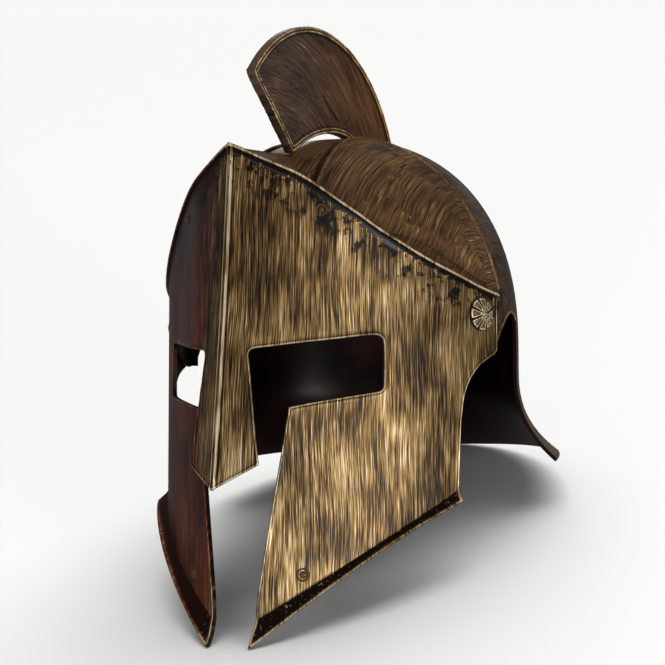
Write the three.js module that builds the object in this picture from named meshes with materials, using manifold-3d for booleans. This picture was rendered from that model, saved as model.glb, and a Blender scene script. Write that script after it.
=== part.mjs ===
// Corinthian helmet: a moulded costume helmet with a bronze finish.
//
// It is drawn upright and facing -Y, in millimetres, with the peak of the visor at 0, 0, 0.
// At the end the whole helmet is leaned back until it rests on its two cheek tips and the
// back of its neck guard, and its origin goes to the middle of that footprint.

import * as THREE from 'three';
import { mergeVertices } from 'three/addons/utils/BufferGeometryUtils.js';
import Module from 'manifold-3d';

const wasm = await Module();
wasm.setup();

// ---- Driving sizes ----

const WALL = 2.2;                // moulded wall of the visor and the skull
const GAP = 0.5;                 // air between pieces that touch
const WELD = 0.12;               // corners nearer than this are one

// The visor in plan: each half is two arcs that meet smoothly, a wide one from the midline
// and a tighter one that turns the sheet towards the ear.
const FRONT_ARC = { x: -82, y: 184.5, r: 204 };
const FRONT_ARC_END = 86;        // distance from the midline where the tighter arc starts
const SIDE_ARC_R = 80;

// The keel leans forward of the plan as it goes down to the tip of the nose guard. Beside the
// nose the lean ends between the top and the bottom of the eyes, and the cheeks stand upright.
const LEAN = { most: 15.7, depth: 180, power: 1.25, full: 26, none: 72, ends: -108, gone: -128 };

// The flat pattern of one visor half: s runs round the sheet from the midline, z is height.
const RIM = [
  { s: 0, z: 0 }, { s: 16, z: -7 }, { s: 36, z: -15.6 }, { s: 57, z: -29.2 },
  { s: 78, z: -43.3 }, { s: 106, z: -58.6 }, { s: 138, z: -71 }, { s: 155, z: -74.2 },
];
const RIM_BAND = { height: 4.6, proud: 1.8 };
const EAR_NOTCH = [
  { s: 155, z: -105.5 }, { s: 148, z: -109.5 }, { s: 139, z: -114 }, { s: 132, z: -121.5 },
  { s: 128, z: -130 }, { s: 125.6, z: -142 }, { s: 124.6, z: -155 }, { s: 124, z: -179 },
];
const EYE = {
  top: { inner: -107.6, outer: -99.6 }, bottom: { inner: -137.2, outer: -128.6 },
  inner: 14.4, outer: 80.8, roundInner: 3.5, roundOuter: 5.5, roundLow: 3.5,
};
const CHEEK_EDGE = { top: { s: 31, z: -137.2 }, low: { s: 14.4, z: -242 }, tip: { s: 11.6, z: -255 } };
const NOSE = { corner: { s: 23.4, z: -167 }, tip: -180 };
const FLANGE_LINE = { front: { s: 14.4, z: -245.5 }, back: { s: 124, z: -179 } };
const FLANGE_EDGE = [
  { s: 11, z: -260 }, { s: 25.2, z: -249.3 }, { s: 41, z: -237.2 }, { s: 57.3, z: -225.2 },
  { s: 74.6, z: -213.2 }, { s: 98, z: -198.6 }, { s: 122.6, z: -185.4 },
];
const FLANGE_OUT = 6.2;          // how far the flange flares out of the cheek
const NET = { across: 11, down: 40 };  // spacing of the lines that the sheet bends along

// The skull: a rounded dome on an oval plan, open at the face.
const DOME = { y: 117, z: -100.7, side: 97, length: 104, height: 117.5, fullness: 2.34 };
const BROW = { slope: 0.06, drop: 1.8, least: 2.5 };  // the ledge behind the rim, up to the dome
const LIP = { front: 20, ear: 37 };
const EAR_S = 150;               // place on the visor where the skull's ledge runs out
const EAR_HOLE = { top: { y: 137, z: -81.7 }, bend: 0.033, front: 108, low: -107.5, back: 150, corner: 9 };
const GUARD = { start: -112, backRim: -150, frontRim: -162.5, out: 25, power: 2.6, frontAngle: 20 };

// The crest in side view: one round arc, a hollow front edge and an arched foot.
const CREST = { y: 88.1, z: -12.6, r: 89, web: 4.4, thick: 5.8, border: 3.4 };
const CREST_FRONT = [
  { y: 16.4, z: 43.2 }, { y: 17.4, z: 39.5 }, { y: 28, z: 33.7 }, { y: 37.5, z: 25.8 },
  { y: 46.2, z: 16.6 }, { y: 53.4, z: 8.6 }, { y: 57.2, z: 3 },
];
const CREST_ARCH = [
  { y: 62.5, z: 5.6 }, { y: 70, z: 9.9 }, { y: 78.4, z: 13.8 }, { y: 86, z: 16.4 },
  { y: 94, z: 18.4 }, { y: 106, z: 20.2 }, { y: 117, z: 19.6 }, { y: 128, z: 16.6 },
];

const ROSETTE = { s: 140, z: -87, r: 9.2, height: 3, petals: 8, hub: 2.4 };
const RIVETS = [
  { name: 'brow_rivet', s: 48.3, z: -35.2, r: 3.3 },
  { name: 'cheek_rivet', s: 38.4, z: -222.8, r: 3.8 },
];

// ---- Small helpers ----

const clamp = (value, low = 0, high = 1) => Math.min(high, Math.max(low, value));
const smooth = (t) => t * t * (3 - 2 * t);
const steps = (count, make) => Array.from({ length: count + 1 }, (_, i) => make(i / count));

// A smooth curve through the rows of a table, as a list of { a, b } read off at even steps.
function curveThrough(rows, a, b, count) {
  const curve = new THREE.SplineCurve(rows.map((row) => new THREE.Vector2(row[a], row[b])));
  return curve.getSpacedPoints(count);
}

// The height of such a curve above one value of its first column.
function readCurve(points, at) {
  const next = points.findIndex((point) => point.x >= at);
  if (next < 0) return points[points.length - 1].y;
  if (next === 0) return points[0].y;
  const [from, to] = [points[next - 1], points[next]];
  return from.y + (to.y - from.y) * (at - from.x) / (to.x - from.x);
}

// A corner of an outline, rounded by a curve that starts and ends `radius` away from it.
function roundCorner(before, corner, after, radius, count = 4) {
  const from = corner.clone().lerp(before, radius / corner.distanceTo(before));
  const to = corner.clone().lerp(after, radius / corner.distanceTo(after));
  return new THREE.QuadraticBezierCurve(from, corner, to).getPoints(count);
}

// Gives points that lie very close together one index between them.
function welder(near) {
  const points = [];
  const indexOf = (point) => {
    const found = points.findIndex((other) => other.distanceToSquared(point) < near * near);
    return found < 0 ? points.push(point) - 1 : found;
  };
  return { points, indexOf };
}

const hasThreeCorners = ([i, j, k]) => i !== j && j !== k && k !== i;

function geometryFrom(vertices, triangles) {
  const geometry = new THREE.BufferGeometry();
  geometry.setAttribute('position', new THREE.Float32BufferAttribute(vertices.flatMap((v) => v.toArray()), 3));
  geometry.setIndex(triangles.flat());
  return geometry;
}

function toSolid(geometry) {
  const bare = geometry.clone();
  bare.deleteAttribute('normal');
  bare.deleteAttribute('uv');
  const merged = mergeVertices(bare, 1e-4);
  return new wasm.Manifold(new wasm.Mesh({
    numProp: 3,
    vertProperties: new Float32Array(merged.attributes.position.array),
    triVerts: new Uint32Array(merged.index.array),
  }));
}

function fromSolid(solid) {
  const mesh = solid.getMesh();
  const { points, indexOf } = welder(WELD);
  const corners = Array.from({ length: mesh.numVert }, (_, i) => indexOf(
    new THREE.Vector3().fromArray(mesh.vertProperties, i * 3)));
  const triangles = Array.from({ length: mesh.numTri }, (_, i) => [0, 1, 2].map(
    (k) => corners[mesh.triVerts[i * 3 + k]]));
  return geometryFrom(points, triangles.filter(hasThreeCorners));
}

// ---- The visor's sheet ----

const arcAngle = (x) => Math.asin((x - FRONT_ARC.x) / FRONT_ARC.r);
const START_ANGLE = arcAngle(0);
const SIDE_ANGLE = arcAngle(FRONT_ARC_END);
const FRONT_LENGTH = FRONT_ARC.r * (SIDE_ANGLE - START_ANGLE);
const SIDE_ARC = {
  x: FRONT_ARC.x + (FRONT_ARC.r - SIDE_ARC_R) * Math.sin(SIDE_ANGLE),
  y: FRONT_ARC.y - (FRONT_ARC.r - SIDE_ARC_R) * Math.cos(SIDE_ANGLE),
  r: SIDE_ARC_R,
};

// Where the sheet is in plan at a distance s round it, and the way it faces there.
function planPoint(s) {
  const length = Math.abs(s);
  const inFront = length < FRONT_LENGTH;
  const arc = inFront ? FRONT_ARC : SIDE_ARC;
  const angle = inFront ? START_ANGLE + length / arc.r : SIDE_ANGLE + (length - FRONT_LENGTH) / arc.r;
  return { x: arc.x + arc.r * Math.sin(angle), y: arc.y - arc.r * Math.cos(angle), angle };
}

function leanForward(s, z) {
  const down = Math.pow(clamp(-z / LEAN.depth), LEAN.power);
  const beside = 1 - smooth(clamp((Math.abs(s) - LEAN.full) / (LEAN.none - LEAN.full)));
  const onNose = Math.abs(s) < NOSE.corner.s + 0.1 && z > NOSE.tip - 0.1;
  const above = onNose ? 1 : 1 - smooth(clamp((LEAN.ends - z) / (LEAN.ends - LEAN.gone)));
  return LEAN.most * down * beside * above;
}

// A point on the sheet, or `out` from it along its normal. At the midline the two halves mitre.
function sheetPoint(s, z, out = 0) {
  const { x, y, angle } = planPoint(s);
  const onMidline = Math.abs(s) < 1e-6;
  const outX = onMidline ? 0 : out * Math.sin(angle);
  const outY = onMidline ? out / Math.cos(START_ANGLE) : out * Math.cos(angle);
  return new THREE.Vector3(Math.sign(s) * Math.max(0, x + outX), y - outY - leanForward(s, z), z);
}

const rimCurve = curveThrough(RIM, 's', 'z', 60);
const rimHeight = (s) => readCurve(rimCurve, Math.abs(s));
const flangeCurve = curveThrough(FLANGE_EDGE, 's', 'z', 40);

function flangeLine(s) {
  const { front, back } = FLANGE_LINE;
  return THREE.MathUtils.mapLinear(s, front.s, back.s, front.z, back.z);
}

// The rim band stands proud along the top, and the flange flares out along the bottom.
function lift(s, z) {
  const rim = clamp((z - rimHeight(s) + RIM_BAND.height) / RIM_BAND.height);
  const a = Math.abs(s);
  const edge = readCurve(flangeCurve, a);
  const flange = z < -170 && a < 130 ? clamp((flangeLine(a) - z) / (flangeLine(a) - edge)) : 0;
  return RIM_BAND.proud * rim + FLANGE_OUT * flange;
}

// The outlines of one half in the flat: the plate, the band above it and the flange below it.
function visorOutlines() {
  const at = (s, z) => new THREE.Vector2(s, z);
  const rear = RIM[RIM.length - 1].s;
  const rimTop = steps(Math.ceil(rear / NET.across), (t) => t * Math.ceil(rear / NET.across) * NET.across)
    .map((s) => at(Math.min(s, rear), rimHeight(Math.min(s, rear))));
  const rimLow = rimTop.map((p) => at(p.x, p.y - RIM_BAND.height));
  const notch = curveThrough(EAR_NOTCH, 's', 'z', 12);
  const line = [FLANGE_LINE.back, FLANGE_LINE.front].map(({ s, z }) => at(s, z));
  const edge = curveThrough(FLANGE_EDGE, 's', 'z', 10).reverse();
  const eye = {
    lowInner: at(CHEEK_EDGE.top.s, EYE.bottom.inner), lowOuter: at(EYE.outer, EYE.bottom.outer),
    topOuter: at(EYE.outer, EYE.top.outer), topInner: at(EYE.inner, EYE.top.inner),
  };
  const noseCorner = at(NOSE.corner.s, NOSE.corner.z);
  const front = [
    at(CHEEK_EDGE.low.s, CHEEK_EDGE.low.z),
    eye.lowInner,
    ...roundCorner(eye.lowInner, eye.lowOuter, eye.topOuter, EYE.roundLow),
    ...roundCorner(eye.lowOuter, eye.topOuter, eye.topInner, EYE.roundOuter),
    ...roundCorner(eye.topOuter, eye.topInner, noseCorner, EYE.roundInner),
    noseCorner,
    at(0, NOSE.tip),
  ];
  return [
    [...rimLow, ...notch, ...line.slice(1), ...front],
    [...rimTop, ...rimLow.slice().reverse()],
    [...line, at(CHEEK_EDGE.tip.s, CHEEK_EDGE.tip.z), ...edge.slice().reverse()],
  ];
}

// The part of a convex polygon on one side of a line across `axis`. A crossing is worked out
// from the lower end of its edge, so that the neighbour over that edge gets the same point.
function sideOf(polygon, axis, line, side) {
  return polygon.flatMap((point, i) => {
    const next = polygon[(i + 1) % polygon.length];
    const kept = (point[axis] - line) * side >= 0 ? [point] : [];
    if ((point[axis] - line) * (next[axis] - line) >= 0) return kept;
    const [low, high] = point[axis] < next[axis] ? [point, next] : [next, point];
    return [...kept, low.clone().lerp(high, (line - low[axis]) / (high[axis] - low[axis]))];
  });
}

// A convex polygon cut along every multiple of `pitch` across `axis`.
function cutAlong(polygon, axis, pitch) {
  const values = polygon.map((point) => point[axis]);
  const parts = [];
  let rest = polygon;
  for (let i = Math.floor(Math.min(...values) / pitch) + 1; i * pitch < Math.max(...values); i += 1) {
    parts.push(sideOf(rest, axis, i * pitch, -1));
    rest = sideOf(rest, axis, i * pitch, 1);
  }
  return [...parts, rest];
}

// Outlines that share edges, filled with triangles that follow the sheet's bend: they are cut
// along upright lines round the sheet, and along level lines down it.
function flatNet(outlines) {
  const { points, indexOf } = welder(WELD);
  const polygons = outlines
    .flatMap((outline) => THREE.ShapeUtils.triangulateShape(outline, []).map((t) => t.map((i) => outline[i])))
    .map((triangle) => (THREE.ShapeUtils.isClockWise(triangle) ? triangle.reverse() : triangle))
    .flatMap((triangle) => cutAlong(triangle, 'x', NET.across))
    .flatMap((polygon) => cutAlong(polygon, 'y', NET.down))
    .map((polygon) => polygon.map(indexOf));
  const triangles = polygons
    .flatMap((polygon) => polygon.slice(2).map((c, i) => [polygon[0], polygon[i + 1], c]))
    .filter(hasThreeCorners);
  return { points, triangles };
}

// A flat net bent to the sheet and given its wall, with a side wall along every open edge.
function bentSheet({ points, triangles }) {
  const outer = points.map((p) => sheetPoint(p.x, p.y, lift(p.x, p.y)));
  const inner = points.map((p) => sheetPoint(p.x, p.y, lift(p.x, p.y) - WALL));
  const count = points.length;
  const faces = triangles.flatMap(([a, b, c]) => [[a, b, c], [a + count, c + count, b + count]]);
  const edges = new Set(triangles.flatMap(([a, b, c]) => [`${a},${b}`, `${b},${c}`, `${c},${a}`]));
  for (const edge of edges) {
    const [a, b] = edge.split(',').map(Number);
    if (!edges.has(`${b},${a}`)) faces.push([b, a, a + count], [b, a + count, b + count]);
  }
  return geometryFrom([...outer, ...inner], faces);
}

function makeVisor() {
  const right = visorOutlines();
  const left = right.map((outline) => outline.map((p) => new THREE.Vector2(-p.x, p.y)).reverse());
  return bentSheet(flatNet([...right, ...left]));
}

// ---- The skull: dome, brow ledge, ear cut-outs and neck guard ----

// The oval's radius in a direction, where 0 is straight out of the ear and 90 is straight back.
function ovalRadius(direction) {
  return 1 / Math.hypot(Math.cos(direction) / DOME.side, Math.sin(direction) / DOME.length);
}

function domeRadius(direction, z) {
  const up = clamp((z - DOME.z) / DOME.height);
  return ovalRadius(direction) * Math.pow(1 - Math.pow(up, DOME.fullness), 1 / DOME.fullness);
}

function domeHeight(direction, radius) {
  const across = clamp(radius / ovalRadius(direction));
  return DOME.z + DOME.height * Math.pow(1 - Math.pow(across, DOME.fullness), 1 / DOME.fullness);
}

const DOME_ROWS = 10;
const LOW_ROWS = 8;

// The dome's profile from the crown out to one radius, with its rows closer where it is steep.
function domeRows(direction, radius) {
  return steps(DOME_ROWS, (t) => Math.sin(t * Math.PI / 2))
    .map((t) => ({ r: radius * t, z: domeHeight(direction, radius * t) }));
}

// Inside the visor: the dome runs down to a ledge, which reaches forward to the rim, and a lip
// hangs from it behind the sheet.
function frontProfile(s) {
  const top = rimHeight(s) - BROW.drop;
  const edge = sheetPoint(s, top, -WALL - GAP);
  const direction = Math.atan2(edge.y - DOME.y, edge.x);
  const reach = Math.hypot(edge.x, edge.y - DOME.y);
  let [start, end] = [0, reach - BROW.least];
  for (let i = 0; i < 30; i += 1) {
    const middle = (start + end) / 2;
    const aboveLedge = domeHeight(direction, middle) > top + BROW.slope * (reach - middle);
    if (aboveLedge) start = middle; else end = middle;
  }
  const rows = domeRows(direction, start);
  const foot = rows[rows.length - 1];
  for (const t of [0.35, 0.7, 0.97]) {
    rows.push({ r: THREE.MathUtils.lerp(start, reach, t), z: THREE.MathUtils.lerp(foot.z, top, t) });
  }
  const depth = THREE.MathUtils.lerp(LIP.front, LIP.ear, smooth(clamp((s - 50) / 80)));
  for (const t of [0.08, 0.35, 0.6, 0.8, 1]) {
    const point = sheetPoint(s, top - depth * t, -WALL - GAP);
    rows.push({ r: Math.hypot(point.x, point.y - DOME.y), z: point.z });
  }
  return { direction, rows };
}

// Behind the ear: the dome runs straight on down into the neck guard, which flares to its rim.
function backProfile(direction, ear) {
  const corner = THREE.MathUtils.degToRad(GUARD.frontAngle);
  const forward = clamp((Math.PI / 2 - direction) / (Math.PI / 2 - corner));
  const grown = smooth(clamp((direction - ear) / (corner - ear)));
  const full = THREE.MathUtils.lerp(GUARD.backRim, GUARD.frontRim, Math.pow(forward, 2.4));
  const rim = THREE.MathUtils.lerp(GUARD.start, full, grown);
  const top = -72;
  const rows = domeRows(direction, domeRadius(direction, top));
  for (let i = 1; i <= LOW_ROWS; i += 1) {
    const t = i / LOW_ROWS;
    const z = THREE.MathUtils.lerp(top, rim, 1 - Math.pow(1 - t, 1.25));
    const flare = Math.pow(clamp((GUARD.start - z) / (GUARD.start - full)), GUARD.power);
    rows.push({ r: domeRadius(direction, z) + GUARD.out * flare * grown, z });
  }
  return { direction, rows };
}

// A profile moved inwards by the wall, square to its own line.
function innerRows(rows) {
  return rows.map((row, i) => {
    const [from, to] = [rows[Math.max(0, i - 1)], rows[Math.min(rows.length - 1, i + 1)]];
    const length = Math.hypot(to.r - from.r, to.z - from.z);
    const inward = { r: (to.z - from.z) / length, z: -(to.r - from.r) / length };
    return { r: i === 0 ? 0 : row.r + WALL * inward.r, z: row.z + WALL * (i === 0 ? -1 : inward.z) };
  });
}

function skullShell() {
  const ear = frontProfile(EAR_S).direction;
  const half = [
    ...steps(16, (t) => frontProfile(EAR_S * t)),
    ...steps(16, (t) => backProfile(THREE.MathUtils.lerp(ear, Math.PI / 2, t * 0.96 + 0.04), ear)),
  ];
  const mirrored = half.slice(1, -1).reverse().map(({ direction, rows }) => ({ direction: Math.PI - direction, rows }));
  const columns = [...half, ...mirrored];
  const vertices = [];
  const place = ({ direction }, { r, z }) => vertices.push(
    new THREE.Vector3(r * Math.cos(direction), DOME.y + r * Math.sin(direction), z)) - 1;
  const crown = DOME.z + DOME.height;
  const tops = [0, -WALL].map((down) => place(half[0], { r: 0, z: crown + down }));
  const skins = [(rows) => rows, innerRows].map((skin) => columns.map(
    (column) => skin(column.rows).slice(1).map((row) => place(column, row))));
  const faces = [];
  const quad = (a, b, c, d) => faces.push([a, b, c], [a, c, d]);
  columns.forEach((_, i) => {
    const j = (i + 1) % columns.length;
    const [outer, inner] = skins;
    faces.push([tops[0], outer[i][0], outer[j][0]], [tops[1], inner[j][0], inner[i][0]]);
    for (let k = 0; k + 1 < outer[i].length; k += 1) {
      quad(outer[i][k], outer[i][k + 1], outer[j][k + 1], outer[j][k]);
      quad(inner[i][k], inner[j][k], inner[j][k + 1], inner[i][k + 1]);
    }
    const last = outer[i].length - 1;
    quad(outer[i][last], inner[i][last], inner[j][last], outer[j][last]);
  });
  return geometryFrom(vertices, faces);
}

// The opening over each ear, seen from the side, right through the helmet.
function earCutter() {
  const { top, bend, front, low, back, corner } = EAR_HOLE;
  const arch = (y) => top.z - bend * (y - top.y) ** 2;
  const shape = new THREE.Shape([
    new THREE.Vector2(40, -220),
    new THREE.Vector2(40, low),
    new THREE.Vector2(front, low),
    ...steps(8, (t) => THREE.MathUtils.lerp(front + 1.2, back - corner, t)).map((y) => new THREE.Vector2(y, arch(y))),
    ...steps(5, (t) => t * Math.PI / 2).map((a) => new THREE.Vector2(
      back - corner + corner * Math.sin(a), arch(back - corner) - corner + corner * Math.cos(a))).slice(1),
    new THREE.Vector2(back, -220),
  ]);
  const prism = new THREE.ExtrudeGeometry(shape, { depth: 400, bevelEnabled: false });
  prism.applyMatrix4(sideView(200));
  return prism;
}

// Turns a shape drawn in side view, y across and z up, to face along X, centred on the midline.
function sideView(half) {
  return new THREE.Matrix4().makeBasis(
    new THREE.Vector3(0, 1, 0), new THREE.Vector3(0, 0, 1), new THREE.Vector3(1, 0, 0),
  ).setPosition(-half, 0, 0);
}

function makeSkull() {
  return fromSolid(toSolid(skullShell()).subtract(toSolid(earCutter())));
}

// ---- The crest ----

// Just clear of the dome along the midline, the gap taken square to its slope.
function overDome(y) {
  const height = (at) => domeHeight(Math.PI / 2, Math.abs(at - DOME.y));
  return height(y) + GAP * Math.hypot(1, height(y + 0.5) - height(y - 0.5));
}

function crestOutline() {
  const at = (y, z) => new THREE.Vector2(y, z);
  const startAngle = Math.atan2(CREST_FRONT[0].z - CREST.z, CREST_FRONT[0].y - CREST.y);
  let endAngle = 0.5;
  const onArc = (angle) => at(CREST.y + CREST.r * Math.cos(angle), CREST.z + CREST.r * Math.sin(angle));
  while (onArc(endAngle).y > overDome(onArc(endAngle).x)) endAngle -= 0.002;
  const arc = steps(28, (t) => onArc(THREE.MathUtils.lerp(startAngle, endAngle, t)));
  const archEnd = CREST_ARCH[CREST_ARCH.length - 1].y;
  const rest = steps(12, (t) => THREE.MathUtils.lerp(onArc(endAngle).x, archEnd, t)).map((y) => at(y, overDome(y)));
  const arch = curveThrough(CREST_ARCH, 'y', 'z', 12).reverse();
  const toe = at(57.5, overDome(57.5));
  const front = curveThrough(CREST_FRONT, 'y', 'z', 10).reverse();
  return [...arc, ...rest.slice(1, -1), ...arch, toe, ...front.slice(0, -1)];
}

// How near a point comes to a closed outline.
function distanceTo(outline, point) {
  return Math.min(...outline.map((from, i) => {
    const along = outline[(i + 1) % outline.length].clone().sub(from);
    const t = clamp(point.clone().sub(from).dot(along) / along.lengthSq());
    return from.clone().addScaledVector(along, t).distanceTo(point);
  }));
}

// An outline moved inwards by `inset`, square to its own line. In a narrow corner, the points
// that would land too near another part of the outline are left out.
function insetOutline(outline, inset) {
  const side = Math.sign(THREE.ShapeUtils.area(outline));
  const moved = outline.map((point, i) => {
    const from = outline[(i + outline.length - 1) % outline.length];
    const to = outline[(i + 1) % outline.length];
    const along = to.clone().sub(point).normalize().add(point.clone().sub(from).normalize()).normalize();
    return point.clone().addScaledVector(new THREE.Vector2(-along.y, along.x), side * inset);
  });
  return moved.filter((point) => distanceTo(outline, point) > inset * 0.9);
}

function crestSlab(outline, thickness) {
  const slab = new THREE.ExtrudeGeometry(new THREE.Shape(outline), { depth: thickness, bevelEnabled: false });
  slab.applyMatrix4(sideView(thickness / 2));
  return toSolid(slab);
}

function makeCrest() {
  const outline = crestOutline();
  const frame = crestSlab(outline, CREST.thick).subtract(crestSlab(insetOutline(outline, CREST.border), CREST.thick + 2));
  return fromSolid(frame.add(crestSlab(insetOutline(outline, CREST.border / 2), CREST.web)));
}

// ---- Rosettes and rivets ----

// A round ornament built up from rings: rows of radius and height, and how deep each is scalloped.
function rosetteGeometry() {
  const { r, height, petals, hub } = ROSETTE;
  const around = petals * 4;
  const rings = [
    { r, z: 0, dip: 0 }, { r, z: height * 0.3, dip: 0.25 }, { r: r * 0.8, z: height * 0.72, dip: 0.3 },
    { r: hub * 1.5, z: height * 0.78, dip: 0.2 }, { r: hub, z: height * 0.62, dip: 0 }, { r: hub * 0.6, z: height, dip: 0 },
  ];
  const vertices = [new THREE.Vector3(0, 0, 0), new THREE.Vector3(0, 0, height)];
  const index = rings.map((ring) => steps(around - 1, (t) => {
    const step = Math.round(t * (around - 1));
    const groove = step % 4 === 0 ? ring.dip : 0;
    const angle = step * 2 * Math.PI / around;
    return vertices.push(new THREE.Vector3(
      (ring.r - groove) * Math.cos(angle), (ring.r - groove) * Math.sin(angle), ring.z - groove)) - 1;
  }));
  const faces = [];
  for (let i = 0; i < around; i += 1) {
    const j = (i + 1) % around;
    faces.push([0, index[0][j], index[0][i]], [1, index[rings.length - 1][i], index[rings.length - 1][j]]);
    for (let k = 0; k + 1 < rings.length; k += 1) {
      faces.push([index[k][i], index[k][j], index[k + 1][j]], [index[k][i], index[k + 1][j], index[k + 1][i]]);
    }
  }
  return geometryFrom(vertices, faces);
}

// A ring rivet: a raised rim round a low button, turned about its own axis.
function rivetGeometry(radius) {
  const profile = [
    [0, 0], [1, 0], [1, 0.22], [0.86, 0.34], [0.74, 0.2], [0.62, 0.2], [0.4, 0.34], [0, 0.4],
  ].map(([r, z]) => new THREE.Vector2(r * radius, z * radius));
  return new THREE.LatheGeometry(profile, 16).rotateX(Math.PI / 2);
}

// Sets a piece on the sheet, its own Z pointing out of it.
function setOnSheet(mesh, s, z, side) {
  const { angle } = planPoint(s);
  mesh.position.copy(sheetPoint(side * s, z, GAP));
  mesh.rotateX(Math.PI / 2);
  mesh.rotateY(side * angle);
}

// ---- Materials and assembly ----

const bronze = new THREE.MeshStandardMaterial({ color: '#8a6a3c', roughness: 0.45, metalness: 0.55 });
const darkBronze = new THREE.MeshStandardMaterial({ color: '#5d4630', roughness: 0.35, metalness: 0.45 });
const gilt = new THREE.MeshStandardMaterial({ color: '#c9b184', roughness: 0.4, metalness: 0.6 });

function piece(name, geometry, material) {
  const mesh = new THREE.Mesh(geometry, material);
  mesh.name = name;
  return mesh;
}

const helmet = new THREE.Group();
helmet.add(piece('visor', makeVisor(), bronze));
helmet.add(piece('skull', makeSkull(), darkBronze));
helmet.add(piece('crest', makeCrest(), darkBronze));
for (const [side, hand] of [[1, 'left'], [-1, 'right']]) {
  const rosette = piece(`ear_rosette_${hand}`, rosetteGeometry(), gilt);
  setOnSheet(rosette, ROSETTE.s, ROSETTE.z, side);
  helmet.add(rosette);
  for (const rivet of RIVETS) {
    const mesh = piece(`${rivet.name}_${hand}`, rivetGeometry(rivet.r), bronze);
    setOnSheet(mesh, rivet.s, rivet.z, side);
    helmet.add(mesh);
  }
}

// ---- At rest ----

// Seen from the side, a rigid thing stands on the two lowest corners either side of its weight.
function restingTilt(group, weightY) {
  const points = [];
  group.updateMatrixWorld(true);
  group.traverse((object) => {
    if (!object.isMesh) return;
    const position = object.geometry.attributes.position;
    for (let i = 0; i < position.count; i += 1) {
      points.push(new THREE.Vector3().fromBufferAttribute(position, i).applyMatrix4(object.matrixWorld));
    }
  });
  points.sort((a, b) => a.y - b.y || a.z - b.z);
  const hull = [];
  for (const point of points) {
    while (hull.length > 1) {
      const [a, b] = hull.slice(-2);
      if ((b.y - a.y) * (point.z - a.z) - (b.z - a.z) * (point.y - a.y) > 0) break;
      hull.pop();
    }
    hull.push(point);
  }
  const back = hull.findIndex((point) => point.y > weightY);
  return Math.atan2(hull[back].z - hull[back - 1].z, hull[back].y - hull[back - 1].y);
}

const WEIGHT_Y = 105;            // roughly where the helmet balances, front to back
helmet.rotation.x = -restingTilt(helmet, WEIGHT_Y);
const resting = new THREE.Group();
resting.add(helmet);
resting.updateMatrixWorld(true);
const box = new THREE.Box3().setFromObject(resting, true);
helmet.position.set(0, -(box.min.y + box.max.y) / 2, -box.min.z);

export default resting;
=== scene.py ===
# %% [markdown]
# # A Corinthian helmet with a brushed bronze finish
# The real thing is a costume helmet, moulded in plastic about two millimetres thick. A pointed
# visor stands in front of a domed skull, a tall crest runs along the midline, and a flared
# guard covers the neck. The whole of it is sprayed black-brown, and gold paint is then dragged
# over it with a nearly dry brush, so that it looks like old bronze.
#
# The solid model is loaded first, as a fixed frame. Every piece below takes the place of one of
# its solids, and adds what a mould and a brush give the real one.

# %% Load the frame
import math

import bmesh
import bpy
import numpy as np
from mathutils import Matrix, Vector, geometry, kdtree


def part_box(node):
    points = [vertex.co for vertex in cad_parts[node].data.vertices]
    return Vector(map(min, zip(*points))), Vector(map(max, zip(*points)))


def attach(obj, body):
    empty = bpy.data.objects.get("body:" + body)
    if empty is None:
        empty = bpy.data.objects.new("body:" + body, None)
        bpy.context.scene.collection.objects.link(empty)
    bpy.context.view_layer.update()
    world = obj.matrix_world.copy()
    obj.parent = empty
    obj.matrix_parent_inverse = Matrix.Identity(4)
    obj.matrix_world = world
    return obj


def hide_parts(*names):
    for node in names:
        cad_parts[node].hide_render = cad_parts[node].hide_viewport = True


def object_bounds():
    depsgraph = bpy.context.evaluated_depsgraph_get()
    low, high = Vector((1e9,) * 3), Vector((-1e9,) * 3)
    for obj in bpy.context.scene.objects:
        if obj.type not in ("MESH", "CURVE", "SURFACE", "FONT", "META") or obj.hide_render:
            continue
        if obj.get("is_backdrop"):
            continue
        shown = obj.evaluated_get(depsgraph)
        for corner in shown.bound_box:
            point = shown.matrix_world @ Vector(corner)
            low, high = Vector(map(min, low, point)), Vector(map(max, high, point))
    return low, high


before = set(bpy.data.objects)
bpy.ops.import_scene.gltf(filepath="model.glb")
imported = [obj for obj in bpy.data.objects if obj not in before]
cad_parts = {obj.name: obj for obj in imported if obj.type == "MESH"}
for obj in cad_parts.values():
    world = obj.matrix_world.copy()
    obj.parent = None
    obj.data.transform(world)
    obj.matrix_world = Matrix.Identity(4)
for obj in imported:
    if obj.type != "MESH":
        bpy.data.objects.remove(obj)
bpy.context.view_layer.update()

print("nodes:", sorted(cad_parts))

# %% [markdown]
# ## One place for everything
# A helmet is easier to draw upright than leaned back on its neck guard. So each shape is drawn
# upright in millimetres, with the peak of the visor at zero, the face looking along -Y and the
# wearer's left at +X. One function then leans it back and puts it where the solid model stands.
# The top of the crest is part of a circle, so the top and the back of the crest's box say where
# the centre of that circle is, and that settles the place of all the rest.

# %% From the upright drawing to the resting helmet
MM = 0.001
TILT = math.radians(23.74)
CREST_ARC = {"y": 88.1, "z": -12.6, "r": 89.0}

lean_back = np.array(Matrix.Rotation(-TILT, 3, "X"))
crest_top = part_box("crest")[1]
arc_centre = lean_back @ np.array([0, CREST_ARC["y"], CREST_ARC["z"]]) * MM
shift = np.array([0, crest_top[1] - CREST_ARC["r"] * MM, crest_top[2] - CREST_ARC["r"] * MM])
shift = shift - np.array([0, arc_centre[1], arc_centre[2]])


def placed(points):
    """Upright millimetres, turned to metres in the frame of the resting helmet."""
    return np.asarray(points, float).reshape(-1, 3) @ lean_back.T * MM + shift


print("the peak of the visor stands at", placed([0, 0, 0])[0].round(4))

# %% [markdown]
# ## Curves through short tables
# A moulded edge is a smooth line that the eye reads at once, so a kink in it would show. These
# helpers draw a smooth curve through a few rows of a table, and walk along a line in even steps.

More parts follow.
